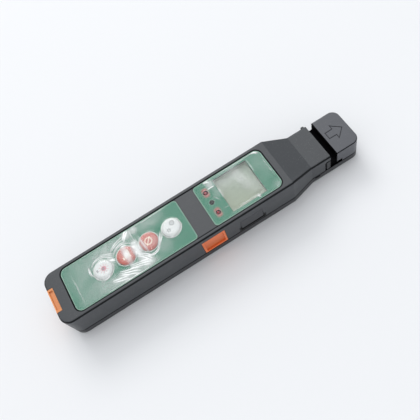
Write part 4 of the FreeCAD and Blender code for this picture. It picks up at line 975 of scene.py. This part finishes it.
# An area of painted glare, kept as whiteness of the film: middle x and y, half length and half width in mm, turn in
# degrees, strength.
KEYPAD_GLARE_PATCHES = [
    (-57.0, 9.8, 14.0, 5.6, 4, 0.30), (-45.4, 12.2, 2.8, 3.6, 0, 0.50), (-40.6, 12.0, 2.8, 3.0, 0, 0.42),
    (-43.6, 0.0, 2.9, 6.8, 0, 0.95), (-51.5, -11.6, 14.0, 4.2, -3, 0.48), (-41.5, -9.0, 5.4, 3.6, -30, 0.50),
    (-28.8, -6.8, 5.0, 6.0, -20, 0.18), (-79.0, -2.0, 9.0, 24.0, 0, 0.17), (-68.0, 9.0, 10.0, 8.0, 0, 0.12),
    (-50.3, 0.0, 2.1, 7.6, 0, 0.74), (-39.2, 0.0, 0.9, 6.4, 6, 0.62), (-67.0, -9.5, 10.0, 6.4, -6, 0.22),
    (-59.0, 2.0, 2.4, 5.0, 0, 0.30), (-34.0, -1.0, 5.0, 5.0, 0, 0.14), (-66.4, -4.6, 3.4, 1.6, 25, 0.40),
    (-30.0, 11.0, 9.0, 4.4, 0, 0.24)]
DISPLAY_CREASES = [
    (8.2, 13.7, 12.0, 12.4, 0.3, 2, 1.0, 0.5, 1.1), (8.6, 8.2, 13.7, 8.3, 0.15, 1, 0.0, 0.38, 1.25),
    (8.4, 3.2, 11.4, -1.4, 0.3, 1, 0.0, 0.32, 0.5), (9.0, -7.3, 13.3, -7.2, 0.0, 1, 0.0, 0.34, 0.5),
    (11.5, 13.7, 44.0, 13.7, 0.0, 1, 0.0, 0.32, 0.6), (40.2, 13.8, 45.4, 10.4, 1.3, 2, 0.7, 0.42, 1.2),
    (14.0, -11.4, 36.0, -11.0, -0.2, 1, 0.0, 0.34, 0.4), (30.0, -11.2, 31.6, -13.5, 0.2, 2, 0.8, 0.40, 0.9),
    (20.4, -10.8, 23.0, -11.6, 0.2, 1, 0.0, 0.40, 0.9), (37.1, 12.4, 37.0, 1.4, 0.0, 1, 0.0, 0.34, 0.55),
    (14.0, 6.2, 13.9, -1.2, 0.0, 1, 0.0, 0.36, 0.8), (45.2, 9.0, 45.3, -9.0, 0.0, 1, 0.0, 0.36, 0.45)]
DISPLAY_GLARE_PATCHES = [
    (11.0, 11.0, 3.0, 3.6, 0, 0.42), (24.0, -12.8, 12.0, 1.8, 0, 0.10), (28.2, 4.8, 3.6, 9.0, 12, 0.26),
    (19.5, 7.0, 7.5, 5.4, 0, 0.16), (42.0, 4.0, 6.0, 12.0, 0, 0.09), (44.6, -12.4, 3.6, 3.0, 0, 0.20),
    (25.0, 13.2, 13.0, 1.9, 0, 0.14), (31.5, -4.0, 5.0, 8.0, 30, 0.12), (11.5, 3.0, 2.6, 3.4, 0, 0.16)]
# Sideways wander of a strand in millimetres, and how far along the bundle its strongest place shifts.
STRAND_WANDER, STRAND_SHIFT = 0.35, 0.30
print("bundles of creases:", len(KEYPAD_CREASES), "and", len(DISPLAY_CREASES))


def waver(*place):
    """A smooth random value that depends on the place alone, so each run gives the same film."""
    return noise.noise(Vector(place))


def crease_strength(x, y, creases, seed):
    """How sharply the film is creased at x, y in mm: 0 where it lies smooth and about 1 on a strong strand."""
    total = 0.0
    for number, (x0, y0, x1, y1, bow, strands, spacing, wide, strength) in enumerate(creases):
        length = math.hypot(x1 - x0, y1 - y0)
        ux, uy = (x1 - x0) / length, (y1 - y0) / length
        along = ((x - x0) * ux + (y - y0) * uy) / length
        if not 0.0 < along < 1.0:
            continue
        across = (y - y0) * ux - (x - x0) * uy - bow * 4 * along * (1 - along)
        if abs(across) > strands * spacing / 2 + 2 * wide:
            continue
        across += STRAND_WANDER * waver(along * length * 0.22, number * 5.1, seed)
        for strand in range(strands):
            place = (strand - (strands - 1) / 2) * spacing
            shift = STRAND_SHIFT * waver(strand * 3.7, number * 1.9, seed)
            span = math.sin(math.pi * min(1.0, max(0.0, along + shift)))
            line = max(0.0, 1.0 - abs(across - place * (0.55 + 0.6 * along)) / wide)
            flicker = 0.9 + 0.45 * waver(along * length * 0.3, strand * 2.3 + number, seed)
            total = max(total, strength * line * max(0.0, span) ** 0.7 * flicker)
    return total


def glare_patch_strength(x, y, glare_patches, seed):
    """How much glare is painted into the film as whiteness over its broad areas."""
    total = 0.0
    for number, (cx, cy, half_x, half_y, degrees, strength) in enumerate(glare_patches):
        turn = math.radians(degrees)
        along = ((x - cx) * math.cos(turn) + (y - cy) * math.sin(turn)) / half_x
        across = ((y - cy) * math.cos(turn) - (x - cx) * math.sin(turn)) / half_y
        soft = math.exp(-1.2 * (along * along + across * across) ** 1.3)
        clouds = 0.95 + 0.45 * waver(x * 0.22, y * 0.22, seed + number)
        share = min(1.0, strength * soft * clouds)
        total += share - total * share
    return total


# %% [markdown]
# ### The film's height
# A key has a flat crown over the middle three quarters of its width and slopes away by 0.6 mm outside that. The film
# follows it with a little air, then falls away in a tent. Between neighbouring keys it is drawn into a low ridge. Along
# its border it sticks to the label.

# %% Height of the film over the label
KEY_RADIUS, CROWN_RADIUS, CROWN_SLOPE = 5.5, 0.75 * 5.5, 0.6
# In millimetres: air over a key, lowest gap, tallest swell, lift of a full crease, and the border that sticks.
FILM_AIR, FILM_GAP, SWELL, CREASE_LIFT, BORDER = 0.14, 0.06, 0.16, 0.13, 2.2
# The ridge between two keys: its height beside a key, how much lower its middle hangs, and its half width.
RIDGE_HEIGHT, RIDGE_SAG, RIDGE_HALF = 0.62, 0.36, 1.9
# How far a key's tent reaches, and the ring of painted glare round the key: its distance, half width and strength.
TENT_REACH, RIM_PLACE, RIM_HALF, RIM_MILK_AND_GLARE = 1.15, 0.7, 0.5, 0.45


def film_height(x, y, border, keys, creases, glare_patches, seed):
    """Height in mm over the label, and how cloudy white the film is, with painted glare added in. border is how far the
    film's edge is.
    """
    rise = SWELL * max(0.0, waver(x * 0.11, y * 0.14, seed) + 0.25)
    free = max(0.0, min(1.0, border / BORDER))
    crease = crease_strength(x, y, creases, seed)
    height = FILM_GAP + rise * free + CREASE_LIFT * min(crease, 1.2) * (0.3 + 0.7 * free)
    # The crease whiteness is real; the broad areas add painted glare.
    milk_and_glare = crease + glare_patch_strength(x, y, glare_patches, seed) * (1.0 - 0.4 * min(1.0, crease))
    for first, second in zip(keys, keys[1:]):
        if first < x < second:
            share = (x - first) / (second - first)
            sag = RIDGE_HEIGHT - RIDGE_SAG * math.sin(math.pi * share)
            height = max(height, sag * math.exp(-(y / RIDGE_HALF) ** 2))
    for key in keys:
        far = math.hypot(x - key, y)
        slope = min(1.0, max(0.0, (far - CROWN_RADIUS) / (KEY_RADIUS - CROWN_RADIUS)))
        crown = key_rise / MM + FILM_AIR - 0.9 * CROWN_SLOPE * slope * slope
        if far < KEY_RADIUS:
            height = max(crown, min(height, crown + 0.05))
        else:
            height = max(height, crown * math.exp(-((far - KEY_RADIUS) / TENT_REACH) ** 2))
            # A ring of painted glare round the key, added to the film's whiteness.
            rim = math.exp(-((far - KEY_RADIUS - RIM_PLACE) / RIM_HALF) ** 2)
            milk_and_glare += RIM_MILK_AND_GLARE * rim * max(0.0, 0.35 + waver(x * 0.4, y * 0.4, seed + 5))
    return height, milk_and_glare


# %% Film mesh
# In millimetres: the grid's spacing and the sheet's thickness.
FILM_PITCH, FILM_THICKNESS = 0.24, 0.04


def build_film(name, node, keys, creases, glare_patches, seed, corner_low, corner_high):
    """The corners are the radii in millimetres at the low and at the high end of X."""
    low, high = (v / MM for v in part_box(node))
    middle_x, half_x, half_y = (low.x + high.x) / 2, (high.x - low.x) / 2, (high.y - low.y) / 2
    columns, rows = round(2 * half_x / FILM_PITCH), round(2 * half_y / FILM_PITCH)
    shape = bmesh.new()
    bmesh.ops.create_grid(shape, x_segments=columns, y_segments=rows, size=0.5)
    milky_and_glare = shape.verts.layers.float.new("milky_and_glare")
    for point in shape.verts:
        y = point.co.y * 2 * half_y
        corner = corner_low if point.co.x < 0 else corner_high
        dip = max(0.0, abs(y) - (half_y - corner))
        reach = half_x - (corner - math.sqrt(max(0.0, corner * corner - dip * dip)))
        x = middle_x + point.co.x * 2 * reach
        border = min(half_x - abs(x - middle_x), half_y - abs(y))
        height, point[milky_and_glare] = film_height(x, y, border, keys, creases, glare_patches, seed)
        point.co = Vector((x, y, label_top / MM + height)) * MM
    bmesh.ops.solidify(shape, geom=shape.faces[:], thickness=FILM_THICKNESS * MM)
    bmesh.ops.recalc_face_normals(shape, faces=shape.faces)
    for face in shape.faces:
        face.smooth = True
    film = add_piece(name, shape)
    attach(film, "housing")
    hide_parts(node)
    tallest = max(v.co.z for v in film.data.vertices)
    print(name, "faces", len(film.data.polygons), "top mm", round(tallest / MM, 2), "CAD top mm", round(high.z, 2))
    return film


keys_along_bar = [centre.x / MM for centre in key_centres.values()]
keypad_film = build_film("creased_keypad_film", "keypad_film", keys_along_bar, KEYPAD_CREASES, KEYPAD_GLARE_PATCHES, 1.7,
                         OUTER_CORNER, INNER_CORNER)
display_film = build_film("creased_display_film", "display_film", [], DISPLAY_CREASES, DISPLAY_GLARE_PATCHES, 8.4,
                          INNER_CORNER, OUTER_CORNER)

# %% [markdown]
# ### The film's finish
# Clear film is a mix: mostly a Transparent shader, with a share of a white Principled shader. The share rises with
# Fresnel, which gives the gloss, and with the attribute of real whiteness and painted glare. Where the film is clear
# the
# Principled part is metallic, so it only mirrors the lamps. Where the attribute is high it is matt white.

# %% Film material
MOST_WHITE, MOST_HAZE = 0.94, 0.03


def build_film_finish():
    material, tree, coat, place = new_finish("clear_film")
    milk_and_glare = add_node(tree, "Attribute", attribute_name="milky_and_glare").outputs["Fac"]
    grain = speckle(tree, place, 900.0, 4.0, 0.65)
    # Painted glare and real crease whiteness both turn the film matt white here.
    white = sum_up(tree, "MINIMUM", product(tree, milk_and_glare, ramp(tree, grain, 0.3, 0.6, 0.82, 1.0)), MOST_WHITE)
    haze = ramp(tree, speckle(tree, place, 45.0, 3.0, 0.6), 0.40, 0.75, 0.0, MOST_HAZE)
    gloss = add_node(tree, "Fresnel", {"IOR": 1.5}).outputs[0]
    cover = sum_up(tree, "ADD", sum_up(tree, "ADD", white, haze), gloss, clamp=True)
    fill(tree, coat, {"Base Color": (0.93, 0.95, 0.95, 1), "Roughness": ramp(tree, white, 0.0, 0.5, 0.09, 0.4),
                      "Metallic": sum_up(tree, "DIVIDE", gloss, cover, clamp=True)})
    link_bump(tree, coat, grain, 0.002)
    let_through(tree, coat, product(tree, cover, outer_side(tree)), (0.985, 0.995, 0.99, 1))
    return material


film_finish = build_film_finish()
for film in (keypad_film, display_film):
    film.data.materials.append(film_finish)
    print(film_finish.name, "on", film.name)
